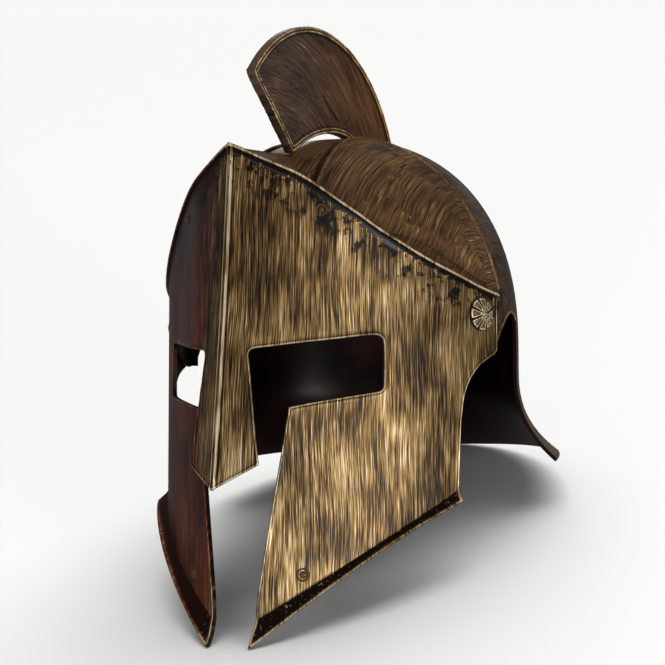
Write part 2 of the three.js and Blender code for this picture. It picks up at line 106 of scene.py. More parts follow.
# %% Helpers for curves
def through(table, x):
    """The height at x of a smooth curve through a table of x and height."""
    xs, ys = np.array(table, float).T
    slopes = np.gradient(ys, xs)
    x = np.asarray(x, float)
    i = np.clip(np.searchsorted(xs, x) - 1, 0, len(xs) - 2)
    width = xs[i + 1] - xs[i]
    t = np.clip((x - xs[i]) / width, 0, 1)
    rise = width * t * (1 - t) * (slopes[i] * (1 - t) - slopes[i + 1] * t)
    return ys[i] * (1 + 2 * t) * (1 - t) ** 2 + ys[i + 1] * t * t * (3 - 2 * t) + rise


def smooth(t):
    """An S-shaped step from 0 to 1."""
    t = np.clip(t, 0, 1)
    return t * t * (3 - 2 * t)


def walk(points, step, curved=False):
    """Points at even steps along a line, or along a smooth curve through its corners."""
    points = np.array(points, float)
    reach = np.concatenate([[0], np.cumsum(np.linalg.norm(np.diff(points, axis=0), axis=1))])
    at = np.linspace(0, reach[-1], max(2, round(reach[-1] / step) + 1))
    read = through if curved else (lambda table, x: np.interp(x, *np.array(table).T))
    return np.column_stack([read(list(zip(reach, column)), at) for column in points.T])


def corner(before, at, after, radius, count=6):
    """A rounded corner: a curve that starts and ends `radius` away from it."""
    before, at, after = (np.array(p, float) for p in (before, at, after))
    start = at + (before - at) * radius / np.linalg.norm(before - at)
    end = at + (after - at) * radius / np.linalg.norm(after - at)
    t = np.linspace(0, 1, count)[:, None]
    return (1 - t) ** 2 * start + 2 * t * (1 - t) * at + t * t * end


def distance_to(points, line):
    """How far each point is from a line of many short stretches."""
    best = np.full(len(points), np.inf)
    for start, end in zip(line[:-1], line[1:]):
        along = end - start
        t = np.clip((points - start) @ along / max(along @ along, 1e-12), 0, 1)
        best = np.minimum(best, np.linalg.norm(points - start - t[:, None] * along, axis=1))
    return best


def inside(points, outline):
    """Which points lie inside a closed outline."""
    found = np.zeros(len(points), bool)
    for (x0, y0), (x1, y1) in zip(outline, np.roll(outline, -1, axis=0)):
        if y0 != y1:
            crosses = (points[:, 1] > min(y0, y1)) & (points[:, 1] <= max(y0, y1))
            found ^= crosses & (points[:, 0] < x0 + (points[:, 1] - y0) * (x1 - x0) / (y1 - y0))
    return found


# %% [markdown]
# ## Plates and shells
# The visor and the crest are flat patterns: an outline, filled with a net of small triangles,
# that is then bent or thickened. The net needs close rows of points where the mould has a bead
# along an edge, and wide ones in the open middle. Blender's constrained Delaunay fill makes such
# a net from any set of points. A shell is made from any open skin by adding a second skin behind
# it and a wall along every free edge, so every piece comes out closed.

# %% Helpers for nets and shells
SHARP = math.radians(38)
HONEYCOMB = {"row": 0.866, "clear": 0.62}
COLLIDES = 0.93


def inset_rows(outline, depths):
    """Rows of points at several depths inside a closed outline, without those that collide."""
    along = np.roll(outline, -1, axis=0) - np.roll(outline, 1, axis=0)
    inward = np.column_stack([-along[:, 1], along[:, 0]]) / np.linalg.norm(along, axis=1)[:, None]
    closed = np.vstack([outline, outline[:1]])
    rows = []
    for depth in depths:
        row = outline + inward * depth
        rows.append(row[distance_to(row, closed) > COLLIDES * depth])
    return np.vstack(rows)


def fill(outline, rows, spacing, nearest=0.35):
    """A net of triangles inside a closed outline that runs counter-clockwise, through `rows`."""
    points = [tuple(p) for p in outline]
    honeycomb = hexagons(outline, spacing)
    for group, gap in ((rows, nearest), (honeycomb, spacing * HONEYCOMB["clear"])):
        kept = kdtree.KDTree(len(points))
        for i, (x, y) in enumerate(points):
            kept.insert((x, y, 0), i)
        kept.balance()
        points += [(x, y) for x, y in group if kept.find((x, y, 0))[2] > gap]
    edges = [(i, (i + 1) % len(outline)) for i in range(len(outline))]
    made = geometry.delaunay_2d_cdt([Vector(p) for p in points], edges, [], 1, 1e-5)
    net = np.array([tuple(v) for v in made[0]])
    triangles = np.array([tuple(face) for face in made[2]])
    a, b, c = (net[triangles[:, k]] for k in range(3))
    turned = np.cross(b - a, c - a) < 0
    triangles[turned] = triangles[turned][:, ::-1]
    return net, triangles


def hexagons(outline, spacing):
    """A honeycomb of points inside an outline."""
    low, high = outline.min(axis=0), outline.max(axis=0)
    rows = []
    for i, y in enumerate(np.arange(low[1], high[1], spacing * HONEYCOMB["row"])):
        x = np.arange(low[0] + spacing / 2 * (i % 2), high[0], spacing)
        rows.append(np.column_stack([x, np.full(len(x), y)]))
    points = np.vstack(rows)
    return points[inside(points, outline)]


def mesh_object(name, points, faces, attributes, slots):
    """A smooth-shaded object with named values on its points and a material slot for each face."""
    mesh = bpy.data.meshes.new(name)
    mesh.from_pydata(placed(points).tolist(), [], [tuple(int(i) for i in face) for face in faces])
    for label, values in attributes.items():
        values = np.asarray(values, np.float32)
        kind, key = ("FLOAT", "value") if values.ndim == 1 else ("FLOAT_VECTOR", "vector")
        mesh.attributes.new(label, kind, "POINT").data.foreach_set(key, values.ravel())
    mesh.polygons.foreach_set("material_index", np.asarray(slots, np.int32))
    mesh.shade_smooth()
    mesh.set_sharp_from_angle(angle=SHARP)
    obj = bpy.data.objects.new(name, mesh)
    bpy.context.scene.collection.objects.link(obj)
    return obj


def shell(name, outer, inner, faces, attributes, wall_slot=0, back_slot=1):
    """A closed shell: a skin, the same skin behind it, and a wall along every free edge."""
    count = len(outer)
    edges = {(int(a), int(b)): True for face in faces for a, b in zip(face, np.roll(face, -1))}
    free = [(a, b) for a, b in edges if (b, a) not in edges]
    back = [tuple(int(i) + count for i in face[::-1]) for face in faces]
    walls = [(b, a, a + count, b + count) for a, b in free]
    every = [tuple(face) for face in faces] + walls + back
    doubled = {label: np.concatenate([values, values]) for label, values in attributes.items()}
    slots = [0] * len(faces) + [wall_slot] * len(walls) + [back_slot] * len(back)
    return mesh_object(name, np.vstack([outer, inner]), every, doubled, slots)


# %% [markdown]
# ## The sheet of the visor
# On the real helmet the visor is a sheet that was bent, not carved: in plan each half is a wide
# arc from the keel that tightens towards the ear, and it runs straight down. Such a sheet can be
# unrolled. So the visor is drawn flat, with s for the way round the sheet from the keel and z
# for the height, and bent afterwards. Only the keel breaks the rule, because it leans forward
# towards the tip of the nose guard.

# %% Sizes of the sheet
FRONT_ARC = {"x": -82.0, "y": 184.5, "r": 204.0}
FRONT_ARC_END = 86.0
SIDE_ARC_R = 80.0
LEAN = {
    "most": 15.7, "depth": 180.0, "power": 1.25, "full": 26.0, "none": 72.0, "ends": -108.0,
    "gone": -128.0}
NOSE_CORNER = (23.3, -167.0)
NOSE_TIP = (0.0, -180.0)

start_angle = math.asin(-FRONT_ARC["x"] / FRONT_ARC["r"])
side_angle = math.asin((FRONT_ARC_END - FRONT_ARC["x"]) / FRONT_ARC["r"])
front_length = FRONT_ARC["r"] * (side_angle - start_angle)
nearer = FRONT_ARC["r"] - SIDE_ARC_R
side_x = FRONT_ARC["x"] + nearer * math.sin(side_angle)
side_y = FRONT_ARC["y"] - nearer * math.cos(side_angle)


def plan(s):
    """Where the sheet is in plan at a distance s round it, and the way it faces."""
    s = np.abs(np.asarray(s, float))
    front = s < front_length
    radius = np.where(front, FRONT_ARC["r"], SIDE_ARC_R)
    angle = np.where(front, start_angle, side_angle) + np.where(front, s, s - front_length) / radius
    x = np.where(front, FRONT_ARC["x"], side_x) + radius * np.sin(angle)
    y = np.where(front, FRONT_ARC["y"], side_y) - radius * np.cos(angle)
    return x, y, angle


def lean_forward(s, z):
    """How far the keel and the nose guard come forward of the plan."""
    s = np.abs(s)
    down = np.clip(-z / LEAN["depth"], 0, 1) ** LEAN["power"]
    beside = 1 - smooth((s - LEAN["full"]) / (LEAN["none"] - LEAN["full"]))
    on_nose = (s < NOSE_CORNER[0] + 0.3) & (z > NOSE_TIP[1] - 0.3)
    fades = smooth((LEAN["ends"] - z) / (LEAN["ends"] - LEAN["gone"]))
    above = np.where(on_nose, 1, 1 - fades)
    return LEAN["most"] * down * beside * above


def sheet(s, z, out):
    """The sheet at s and z, or `out` millimetres off it. The two halves meet in a mitre."""
    s, z, out = np.broadcast_arrays(np.asarray(s, float), z, out)
    x, y, angle = plan(s)
    middle = np.abs(s) < 1e-4
    out_x = np.where(middle, 0, out * np.sin(angle))
    out_y = np.where(middle, out / math.cos(start_angle), out * np.cos(angle))
    x = np.sign(s) * np.maximum(0, x + out_x)
    return np.column_stack([x, y - out_y - lean_forward(s, z), z])


EAR_END = 155
print("the sheet is", round(float(plan(EAR_END)[0]) * 2), "mm wide at the ears")

# %% [markdown]
# ## The outline of the visor
# The visor is cut from one sheet: each eye opens into the slot of the mouth, and the nose guard
# hangs between them. One closed outline holds all of it. The right half of the pattern is walked
# from the peak, along the rim, down behind the cheek, along the flange to the tip of the cheek,
# up its front edge, round the eye and down to the tip of the nose. The left half mirrors it.

# %% The outline in the flat
RIM = [
    (0, 0), (8, -3.3), (16, -7), (26, -11.3), (36.5, -15.9), (47, -22.3), (57, -29.2), (67.6, -36.2),
    (78, -43.3), (89, -49.6), (106, -58.6), (124, -66.1), (138, -71), (150, -73.6),
    (EAR_END, -74.3)]
REAR_LOW = (EAR_END, -105.5)
NOTCH = [
    (152, -107.2), (147, -109.6), (139, -114), (133, -120.2), (129, -127.4), (126.3, -140),
    (125.2, -153.5), (124.6, -167), (124, -179)]
FLANGE_BACK = (122.6, -185.4)
FLANGE_EDGE = [
    (122.6, -185.4), (110, -192.1), (98, -198.6), (84, -207), (74.6, -213.2), (57.3, -225.2),
    (41, -237.2), (25.2, -249.3), (17.8, -255.1), (11, -260)]
FLANGE_LINE = ((124, -179), (14.4, -245.5))
FLANGE_OUT = 6.15
FLANGE_POWER = 1.25
FLANGE_WITHIN = {"s": 126, "z": -170}
CHEEK_EDGE = [
    (11, -260), (11.7, -255), (14.4, -245.5), (14.5, -241), (17.4, -219), (21.4, -195),
    (26.5, -164.3), (31, -137.2)]
EYE_LOW = [(31, -137.2), (36.7, -136), (57.4, -132.3), (80.8, -128.4)]
EYE_TOP = [
    (80.8, -99.4), (72.2, -99.9), (57.4, -102), (39.5, -104.6), (27.7, -106.3), (14.3, -107.9)]
NOSE_EDGE = [(14.3, -107.9), (17.1, -126), (20.8, -152), NOSE_CORNER]
STEP = 1.2
ROUND = {"rear": 2.2, "eye_low": 3.5, "eye_top": 5.2, "nose": 3.8}


def rim_height(s):
    """The height of the rim at a distance s round the sheet."""
    return through(RIM, np.abs(s))


def rim_line(start):
    """The rim from a place on the sheet to the wearer's left ear."""
    return walk([(s, rim_height(s)) for s in range(start, EAR_END + 1)], STEP)


def trimmed(line, at_start, at_end):
    """A line without what two rounded corners take off its ends."""
    return line[round(at_start / STEP) + 1:len(line) - round(at_end / STEP) - 1]


def half_outline():
    """The right half of the pattern, and which of its points are on the rim."""
    rim = rim_line(0)
    eye_low = walk(EYE_LOW, STEP, curved=True)
    eye_top = walk(EYE_TOP, STEP, curved=True)
    nose = walk(NOSE_EDGE, STEP, curved=True)
    rest = [
        walk([rim[-1], REAR_LOW], STEP)[1:-2],
        corner(rim[-1], REAR_LOW, NOTCH[0], ROUND["rear"]),
        walk(NOTCH, STEP, curved=True),
        walk([NOTCH[-1], FLANGE_BACK], STEP)[1:-1],
        walk(FLANGE_EDGE, STEP, curved=True),
        walk(CHEEK_EDGE, STEP, curved=True)[1:-1],
        trimmed(eye_low, -STEP, ROUND["eye_low"]),
        corner(EYE_LOW[-2], EYE_LOW[-1], EYE_TOP[0], ROUND["eye_low"]),
        walk([EYE_LOW[-1], EYE_TOP[0]], STEP)[4:-5],
        corner(EYE_LOW[-1], EYE_TOP[0], EYE_TOP[1], ROUND["eye_top"]),
        trimmed(eye_top, ROUND["eye_top"], ROUND["nose"]),
        corner(EYE_TOP[-2], EYE_TOP[-1], NOSE_EDGE[1], ROUND["nose"]),
        trimmed(nose, ROUND["nose"], -STEP),
        walk([NOSE_CORNER, NOSE_TIP], STEP)[1:],
    ]
    points = np.vstack([rim, *rest])
    return points, np.arange(len(points)) < len(rim)


right_half, right_rim = half_outline()
outline = np.vstack([right_half, (right_half * [-1, 1])[1:-1][::-1]])[::-1]
on_rim = np.concatenate([right_rim, right_rim[1:-1][::-1]])[::-1]
print(len(outline), "points round the visor")

# %% [markdown]
# ## The relief of the visor
# The mould gives the sheet its low relief: a double bead along the rim, a thin bead round every
# other edge, a flat-topped keel down the nose and a flange that flares from the cheeks. Each is a
# small table of how far the face stands off the sheet at some distance from the edge. Real relief
# catches the light along its sides, which a painted line would not.

# %% Bend the pattern into the visor
RIM_BEAD = [
    (0, 0.9), (0.35, 1.6), (0.9, 2.0), (1.5, 1.7), (2.0, 0.9), (2.5, 0.35), (3.2, 0.3), (3.8, 0.35),
    (4.4, 0.15), (5.3, 0)]
EDGE_BEAD = [(0, 0.0), (0.25, 0.25), (0.6, 0.38), (1.0, 0.25), (1.4, 0)]
RIM_BACK = {"proud": 1.2, "ends": 5.5, "over": 3.0}
KEEL = {"half": 1.4, "side": 0.4, "proud": 0.5, "beside": 3.2, "top": -5.6, "foot": -176}
PLATE = 2.0
NET = 1.9


def flange_part(s, z):
    """0 on the cheek, rising to 1 at the outer edge of the flange."""
    (s0, z0), (s1, z1) = FLANGE_LINE
    line = z0 + (np.abs(s) - s0) * (z1 - z0) / (s1 - s0)
    edge = through(FLANGE_EDGE[::-1], np.abs(s))
    part = np.clip((line - z) / np.maximum(line - edge, 2), 0, 1)
    return np.where((z < FLANGE_WITHIN["z"]) & (np.abs(s) < FLANGE_WITHIN["s"]), part, 0)


def visor_net():
    """The points and triangles of the flat visor, with rows along beads, keel and flange."""
    rim_rows = inset_rows(outline, [depth for depth, _ in RIM_BEAD[1:]] + [6.4])
    edge_rows = inset_rows(outline, [depth for depth, _ in EDGE_BEAD[1:]] + [3.0])
    near_rim = distance_to(rim_rows, outline[on_rim]) < 6.6
    near_edge = distance_to(edge_rows, outline[on_rim]) > 5.2
    keel_z = np.arange(KEEL["top"], KEEL["foot"], -STEP)
    flange_s = np.arange(16, 122, STEP)
    line_z = np.interp(flange_s, *zip(*sorted(FLANGE_LINE)))
    keel_rows = [np.column_stack([np.zeros(len(keel_z)), keel_z])]
    flange_rows = []
    for hand in (-1, 1):
        for beside in (KEEL["half"], KEEL["half"] + KEEL["side"], KEEL["beside"]):
            keel_rows.append(np.column_stack([np.full(len(keel_z), hand * beside), keel_z]))
        for lift in (0.8, 0, -1.2):
            flange_rows.append(np.column_stack([hand * flange_s, line_z + lift]))
    rows = np.vstack([rim_rows[near_rim], edge_rows[near_edge], *keel_rows, *flange_rows])
    return fill(outline, rows[inside(rows, outline)], NET)


net, triangles = visor_net()
s, z = net.T
to_other_edge = distance_to(net, outline[~on_rim])
to_rim = distance_to(net, rim_line(-EAR_END))
flange = flange_part(s, z)

keel = KEEL["proud"] * smooth((KEEL["half"] + KEEL["side"] - np.abs(s)) / KEEL["side"])
keel = keel * smooth((to_rim - 4) / 2)
relief = np.maximum.reduce([
    np.where(to_rim < 5.3, through(RIM_BEAD, to_rim), 0),
    np.where(to_other_edge < 1.4, through(EDGE_BEAD, to_other_edge), 0), keel])
flare = FLANGE_OUT * flange ** FLANGE_POWER
behind_bead = RIM_BACK["proud"] * smooth((RIM_BACK["ends"] - to_rim) / RIM_BACK["over"])
outer = sheet(s, z, flare + relief)
inner = sheet(s, z, flare + behind_bead - PLATE)
visor = shell("visor_plate", outer, inner, triangles, {
    "stroke": np.column_stack([s, z, np.zeros(len(s))]), "side_mm": s, "height_mm": z,
    "rim_mm": to_rim, "edge_mm": to_other_edge, "flange": flange})
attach(visor, "root")
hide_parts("visor")
print("visor:", len(visor.data.polygons), "faces")

# %% [markdown]
# ## The skull
# The skull is a dome on an oval plan, a little fuller than an ellipsoid. In front a low ledge
# fills the space between the dome and the rim of the visor, and a lip hangs from it behind the
# sheet, where the rosettes and the brow rivets hold the two together. Behind the ears the same
# shell runs on down and flares into the neck guard, and over each ear it is cut away in an arch.
#
# The shell is laid out in columns, like the staves of a barrel: each column is a profile from the
# crown down, in one direction from the dome's centre. That way one rule makes the ledge in front
# and the flare behind, and the arch is only a set of columns that end early.

# %% Sizes of the skull
DOME = {"y": 117.0, "z": -100.7, "side": 97.0, "length": 103.88, "height": 117.5, "full": 2.34}
BROW = {"slope": 0.06, "drop": 1.8, "least": 2.5, "behind": 2.75}
LIP = {"front": 20.0, "ear": 33.0, "from": 50, "over": 80}
EAR = {"last": 150.0, "foot": 111.5, "low": -107.5, "back": 150.0, "corner": 9.0}
ARCH = [
    (111.5, -103), (113.5, -99.6), (116, -96), (120, -91.8), (124.6, -87.6), (129.8, -84.1),
    (137.5, -81.8), (143, -82.6), (150, -84.5)]
GUARD = {
    "start": -112.0, "back": -150.0, "front": -162.5, "out": 25.0, "out_front": 22.3, "power": 2.6,
    "corner": math.radians(20), "drop": 2.4, "closer": 1.3, "rub": (-108, 20)}
DOME_FOOT = -78.0
ROWS = {"dome": 62, "side": 9, "low": 26}
COLUMNS = {"front": 76, "behind_visor": 5, "over_ear": 24, "back": 62}
SHELL = 2.0


def oval(direction):
    """The plan's radius in a direction: 0 is straight out of the left ear, a quarter turn is back."""
    return 1 / np.hypot(np.cos(direction) / DOME["side"], np.sin(direction) / DOME["length"])


def dome_height(direction, radius):
    """The height of the dome at a distance from its axis."""
    across = np.clip(radius / oval(direction), 0, 1)
    return DOME["z"] + DOME["height"] * (1 - across ** DOME["full"]) ** (1 / DOME["full"])


def dome_radius(direction, height):
    """How far the dome reaches from its axis at a height."""
    up = np.clip((height - DOME["z"]) / DOME["height"], 0, 1)
    return oval(direction) * (1 - up ** DOME["full"]) ** (1 / DOME["full"])


def dome_rows(direction, radius):
    """A profile from the crown to a radius, in even steps of its own length."""
    fine = radius * np.sin(np.linspace(0, math.pi / 2, 200))
    line = np.column_stack([fine, dome_height(direction, fine)])
    reach = np.concatenate([[0], np.cumsum(np.linalg.norm(np.diff(line, axis=0), axis=1))])
    at = np.linspace(0, reach[-1], ROWS["dome"])
    return np.column_stack([np.interp(at, reach, line[:, k]) for k in (0, 1)])


# %% [markdown]
# ### Three kinds of column
# In front a column runs down the dome, forward along the ledge and down the lip. Over the ear it
# runs straight down and stops at the arch. Behind, it runs on and flares into the neck guard. Each
# has the same number of rows, so that neighbours of any kind can be joined by quads.

# %% Columns of the skull
def steps(count, start=0.0, end=1.0):
    """Even steps from start to end, without the start."""
    return np.linspace(start, end, count + 1)[1:]


def front_column(s):
    """Dome, ledge and lip behind one place of the visor's sheet."""
    top = float(rim_height(s)) - BROW["drop"]
    x, y, _ = sheet(s, top, -BROW["behind"])[0]
    direction, reach = math.atan2(y - DOME["y"], x), math.hypot(x, y - DOME["y"])
    low, high = 0.0, reach - BROW["least"]
    for _ in range(30):
        middle = (low + high) / 2
        if dome_height(direction, middle) > top + BROW["slope"] * (reach - middle):
            low = middle
        else:
            high = middle
    rows = dome_rows(direction, low)
    t = steps(ROWS["side"])
    ledge = np.column_stack([low + (reach - low) * t, rows[-1, 1] + (top - rows[-1, 1]) * t])
    deeper = float(smooth((s - LIP["from"]) / LIP["over"]))
    depth = LIP["front"] + (LIP["ear"] - LIP["front"]) * deeper
    lip = sheet(np.full(ROWS["low"], s), top - depth * steps(ROWS["low"]), -BROW["behind"])
    lip = np.column_stack([np.hypot(lip[:, 0], lip[:, 1] - DOME["y"]), lip[:, 2]])
    return direction, np.vstack([rows, ledge, lip]), False


def arch_height(y):
    """The lower edge of the shell over the ear, rounded where it turns down the guard."""
    before = EAR["back"] - EAR["corner"]
    arch = float(through(ARCH, min(y, before)))
    over = min(max(0.0, y - before), EAR["corner"])
    return arch - EAR["corner"] + math.sqrt(EAR["corner"] ** 2 - over ** 2)


def side_column(direction, short):
    """Over the ear: the dome runs straight down to the arch, or behind the visor to its foot."""
    y = DOME["y"] + oval(direction) * math.sin(direction)
    rows = dome_rows(direction, float(dome_radius(direction, DOME_FOOT)))
    arch = arch_height(max(y, EAR["foot"]))
    heights = np.concatenate([
        steps(ROWS["side"], DOME_FOOT, arch), steps(ROWS["low"], arch, EAR["low"])])
    wall = np.column_stack([dome_radius(direction, heights), heights])
    return direction, np.vstack([rows, wall]), short


def guard_column(direction):
    """Behind the ear: the wall runs down past the arch and flares to the guard's rim."""
    forward = min(1.0, (math.pi / 2 - direction) / (math.pi / 2 - GUARD["corner"]))
    rim = GUARD["back"] + (GUARD["front"] - GUARD["back"]) * forward ** GUARD["drop"]
    arch = arch_height(EAR["back"])
    rows = dome_rows(direction, float(dome_radius(direction, DOME_FOOT)))
    closer = 1 - (1 - steps(ROWS["low"])) ** GUARD["closer"]
    heights = np.concatenate([steps(ROWS["side"], DOME_FOOT, arch), arch + (rim - arch) * closer])
    flare = np.clip((GUARD["start"] - heights) / (GUARD["start"] - rim), 0, 1) ** GUARD["power"]
    out = GUARD["out"] + (GUARD["out_front"] - GUARD["out"]) * forward
    wall = np.column_stack([dome_radius(direction, heights) + out * flare, heights])
    return direction, np.vstack([rows, wall]), False


# %% [markdown]
# ## Raised panels on the dome
# Each front quarter of the dome carries a raised panel. A straight band about fifty millimetres
# wide is left between the two, and each panel ends behind in an arc that runs down to the ear.
# A point's depth inside the panel is worked out from those two borders, with a rounded corner
# where they meet, and the panel is lifted by a step of a millimetre or so along the dome's normal.

# %% Build the skull
PANEL = {
    "band": [(20, 29.5), (39, 28), (58, 25.5), (78.5, 22.8), (95, 22)], "y": 98.0, "slope": 0.235,
    "z": 12.0, "corner": 11.0, "step": 1.3, "soft": 1.6, "fades": (-90, 12)}


def panel_depth(points):
    """How far inside the panel a point is, in millimetres: below zero is outside."""
    x, y, z = np.abs(points[:, 0]), points[:, 1], points[:, 2]
    from_band = x - through(PANEL["band"], np.clip(y, 20, 95))
    from_arc = PANEL["y"] + PANEL["slope"] * (PANEL["z"] - z) - y
    r = PANEL["corner"]
    rounded = r - np.hypot(np.maximum(r - from_band, 0), np.maximum(r - from_arc, 0))
    return np.where((from_band < r) & (from_arc < r), rounded, np.minimum(from_band, from_arc))


def dome_normal(points):
    """The way the dome faces at a point on it."""
    x, y, z = points[:, 0], points[:, 1] - DOME["y"], np.maximum(points[:, 2] - DOME["z"], 0)
    n = DOME["full"]
    q = np.maximum((x / DOME["side"]) ** 2 + (y / DOME["length"]) ** 2, 1e-9)
    flat = n * q ** (n / 2 - 1)
    normal = np.column_stack([
        flat * x / DOME["side"] ** 2, flat * y / DOME["length"] ** 2,
        n * z ** (n - 1) / DOME["height"] ** n])
    return normal / np.linalg.norm(normal, axis=1)[:, None]


def inward(rows):
    """A profile moved inwards by the shell, square to its own line."""
    along = np.gradient(rows, axis=0)
    along = along / np.linalg.norm(along, axis=1)[:, None]
    moved = rows + SHELL * np.column_stack([along[:, 1], -along[:, 0]])
    moved[0] = (0, rows[0, 1] - SHELL)
    return moved


def round_the_ears(points):
    """Brush places on the dome: across is the way out from the midline, along goes round the ears.

    The two angles become millimetres by the dome's usual radius across and along.
    """
    x, y, z = points[:, 0], points[:, 1] - DOME["y"], points[:, 2] - DOME["z"]
    across = 100 * np.arctan2(x, np.hypot(y, z))
    return np.column_stack([across, 90 * np.arctan2(z, y), np.zeros(len(points))])


# %% [markdown]
# ### The shell of the skull
# The left half of the columns is worked out from the midline in front to the midline behind, and
# the right half mirrors it. Quads join each column to the next. The points that no face uses are
# those below the arches and the repeats of the crown. They are dropped before the shell is made.

# %% Join the columns into a shell
front = [front_column(v) for v in np.linspace(0, EAR["last"], COLUMNS["front"])]
ear_start = front[-1][0]
ear_foot = math.asin((EAR["foot"] - DOME["y"]) / DOME["length"])
ear_back = math.asin((EAR["back"] - DOME["y"]) / DOME["length"])
behind_visor = [
    side_column(d, False) for d in steps(COLUMNS["behind_visor"] - 1, ear_start, ear_foot)]
over_ear = [side_column(d, True) for d in steps(COLUMNS["over_ear"] - 1, ear_foot, ear_back)]
back = [guard_column(d) for d in np.linspace(ear_back, math.pi / 2, COLUMNS["back"])]
half = front + behind_visor + over_ear + back
mirrored = [(math.pi - d, rows, short) for d, rows, short in half[1:-1][::-1]]
columns = half + mirrored

row_count = ROWS["dome"] + ROWS["side"] + ROWS["low"]
short_rows = ROWS["dome"] + ROWS["side"]


def column_points(column, rows):
    """The points of a column's rows of radius and height."""
    x = rows[:, 0] * math.cos(column[0])
    y = DOME["y"] + rows[:, 0] * math.sin(column[0])
    return np.column_stack([x, y, rows[:, 1]])


def skull_faces():
    """Quads between neighbouring columns, stopping early over the ear, and a fan at the crown."""
    faces = []
    for i in range(len(columns)):
        j = (i + 1) % len(columns)
        last = short_rows if columns[i][2] or columns[j][2] else row_count
        a, b = i * row_count, j * row_count
        faces.append((0, a + 1, b + 1))
        faces += [(a + k, a + k + 1, b + k + 1, b + k) for k in range(1, last - 1)]
    return faces


outer = np.vstack([column_points(c, c[1]) for c in columns])
inner = np.vstack([column_points(c, inward(c[1])) for c in columns])
is_dome = np.tile(np.arange(row_count) < ROWS["dome"], len(columns))
depth_in_panel = np.where(is_dome, panel_depth(outer), -50)
lift = PANEL["step"] * smooth(depth_in_panel / PANEL["soft"] + 0.5) * is_dome
lift = lift * smooth((outer[:, 2] - PANEL["fades"][0]) / PANEL["fades"][1])
outer = outer + dome_normal(outer) * lift[:, None]
faces = skull_faces()
used = np.unique(np.concatenate([np.array(face) for face in faces]))
index = np.full(len(outer), -1)
index[used] = np.arange(len(used))
faces = [tuple(index[i] for i in face) for face in faces]
outer, inner, depth_in_panel = outer[used], inner[used], depth_in_panel[used]
skull = shell("skull_shell", outer, inner, faces, {
    "stroke": round_the_ears(outer), "panel_mm": depth_in_panel, "y_mm": outer[:, 1],
    "guard": smooth((GUARD["rub"][0] - outer[:, 2]) / GUARD["rub"][1])}, wall_slot=1)
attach(skull, "root")
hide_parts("skull")
print("skull:", len(skull.data.polygons), "faces in", len(columns), "columns")

# %% [markdown]
# ## The crest
# The crest is a flat plate with a raised border: a wide groove between two fine ridges. It is
# filled in the flat like the visor, and its half thickness at each point comes from a table of
# the distance to its edge. Its foot is an arch that stands a little clear of the dome.

# %% Build the crest
CREST_FRONT = [
    (16.4, 43.2), (18.6, 39.4), (24.6, 33.2), (31.6, 27.0), (38.6, 20.6), (46.2, 13.4), (52.6, 7.4),
    (57.2, 2.6)]
CREST_ARCH = [
    (57.2, 2.6), (62.5, 5.6), (70, 9.9), (78.4, 13.8), (86, 16.4), (94, 18.4), (106, 20.2), (117, 19.6),
    (128, 16.6)]
CREST_HALF = [
    (0, 2.2), (0.35, 2.7), (0.8, 2.85), (1.2, 2.6), (1.8, 2.4), (2.3, 2.75), (2.8, 2.85), (3.2, 2.5),
    (3.8, 2.0), (4.6, 1.9)]
CREST_GAP = 0.5
RING_MARKS = {"at": np.array([(88.1, 67.3), (117.4, 27.5)]), "r": 2.5, "half": 0.6, "proud": 0.5}
CREASE = [(91.1, 39.3), (95.9, 34.8), (103.2, 30.3), (110.0, 27.0)]
CREASE_CUT = {"half": 0.9, "deep": 0.45}
CREST_SWEEP = np.array([38.0, -55.0])


def over_dome(y):
    """Just clear of the dome along the midline, the gap taken square to its slope."""
    height = lambda at: dome_height(math.pi / 2, np.abs(at - DOME["y"]))
    return height(y) + CREST_GAP * np.hypot(1, height(y + 0.5) - height(y - 0.5))


def crest_outline():
    """Over the arc to the dome, forward along it, round the foot's arch and up the front."""
    middle = np.array([CREST_ARC["y"], CREST_ARC["z"]])
    start = math.atan2(*(np.array(CREST_FRONT[0]) - middle)[::-1])
    angles = np.linspace(start, 0, 2000)
    arc = middle + CREST_ARC["r"] * np.column_stack([np.cos(angles), np.sin(angles)])
    arc = arc[arc[:, 1] > over_dome(arc[:, 0])]
    back_y = np.linspace(arc[-1, 0], CREST_ARCH[-1][0], 200)
    parts = [
        walk(arc, STEP), walk(np.column_stack([back_y, over_dome(back_y)]), STEP)[1:-1],
        walk(CREST_ARCH[::-1], STEP, curved=True), walk(CREST_FRONT[::-1], STEP, curved=True)[1:-1]]
    return np.vstack(parts)[::-1]


def ring_rows(centre, radii, count=24):
    """Rows of points round a centre."""
    angles = np.linspace(0, 2 * math.pi, count, endpoint=False)
    circle = np.column_stack([np.cos(angles), np.sin(angles)])
    return np.vstack([centre + circle * radius for radius in radii])


# %% [markdown]
# The rows of the net follow the ridges of the border, the two ring marks and the crease, so that
# each has points where its slope changes. The brush places on the crest are arcs round a point
# below its front, which is how a hand sweeps over a fin.

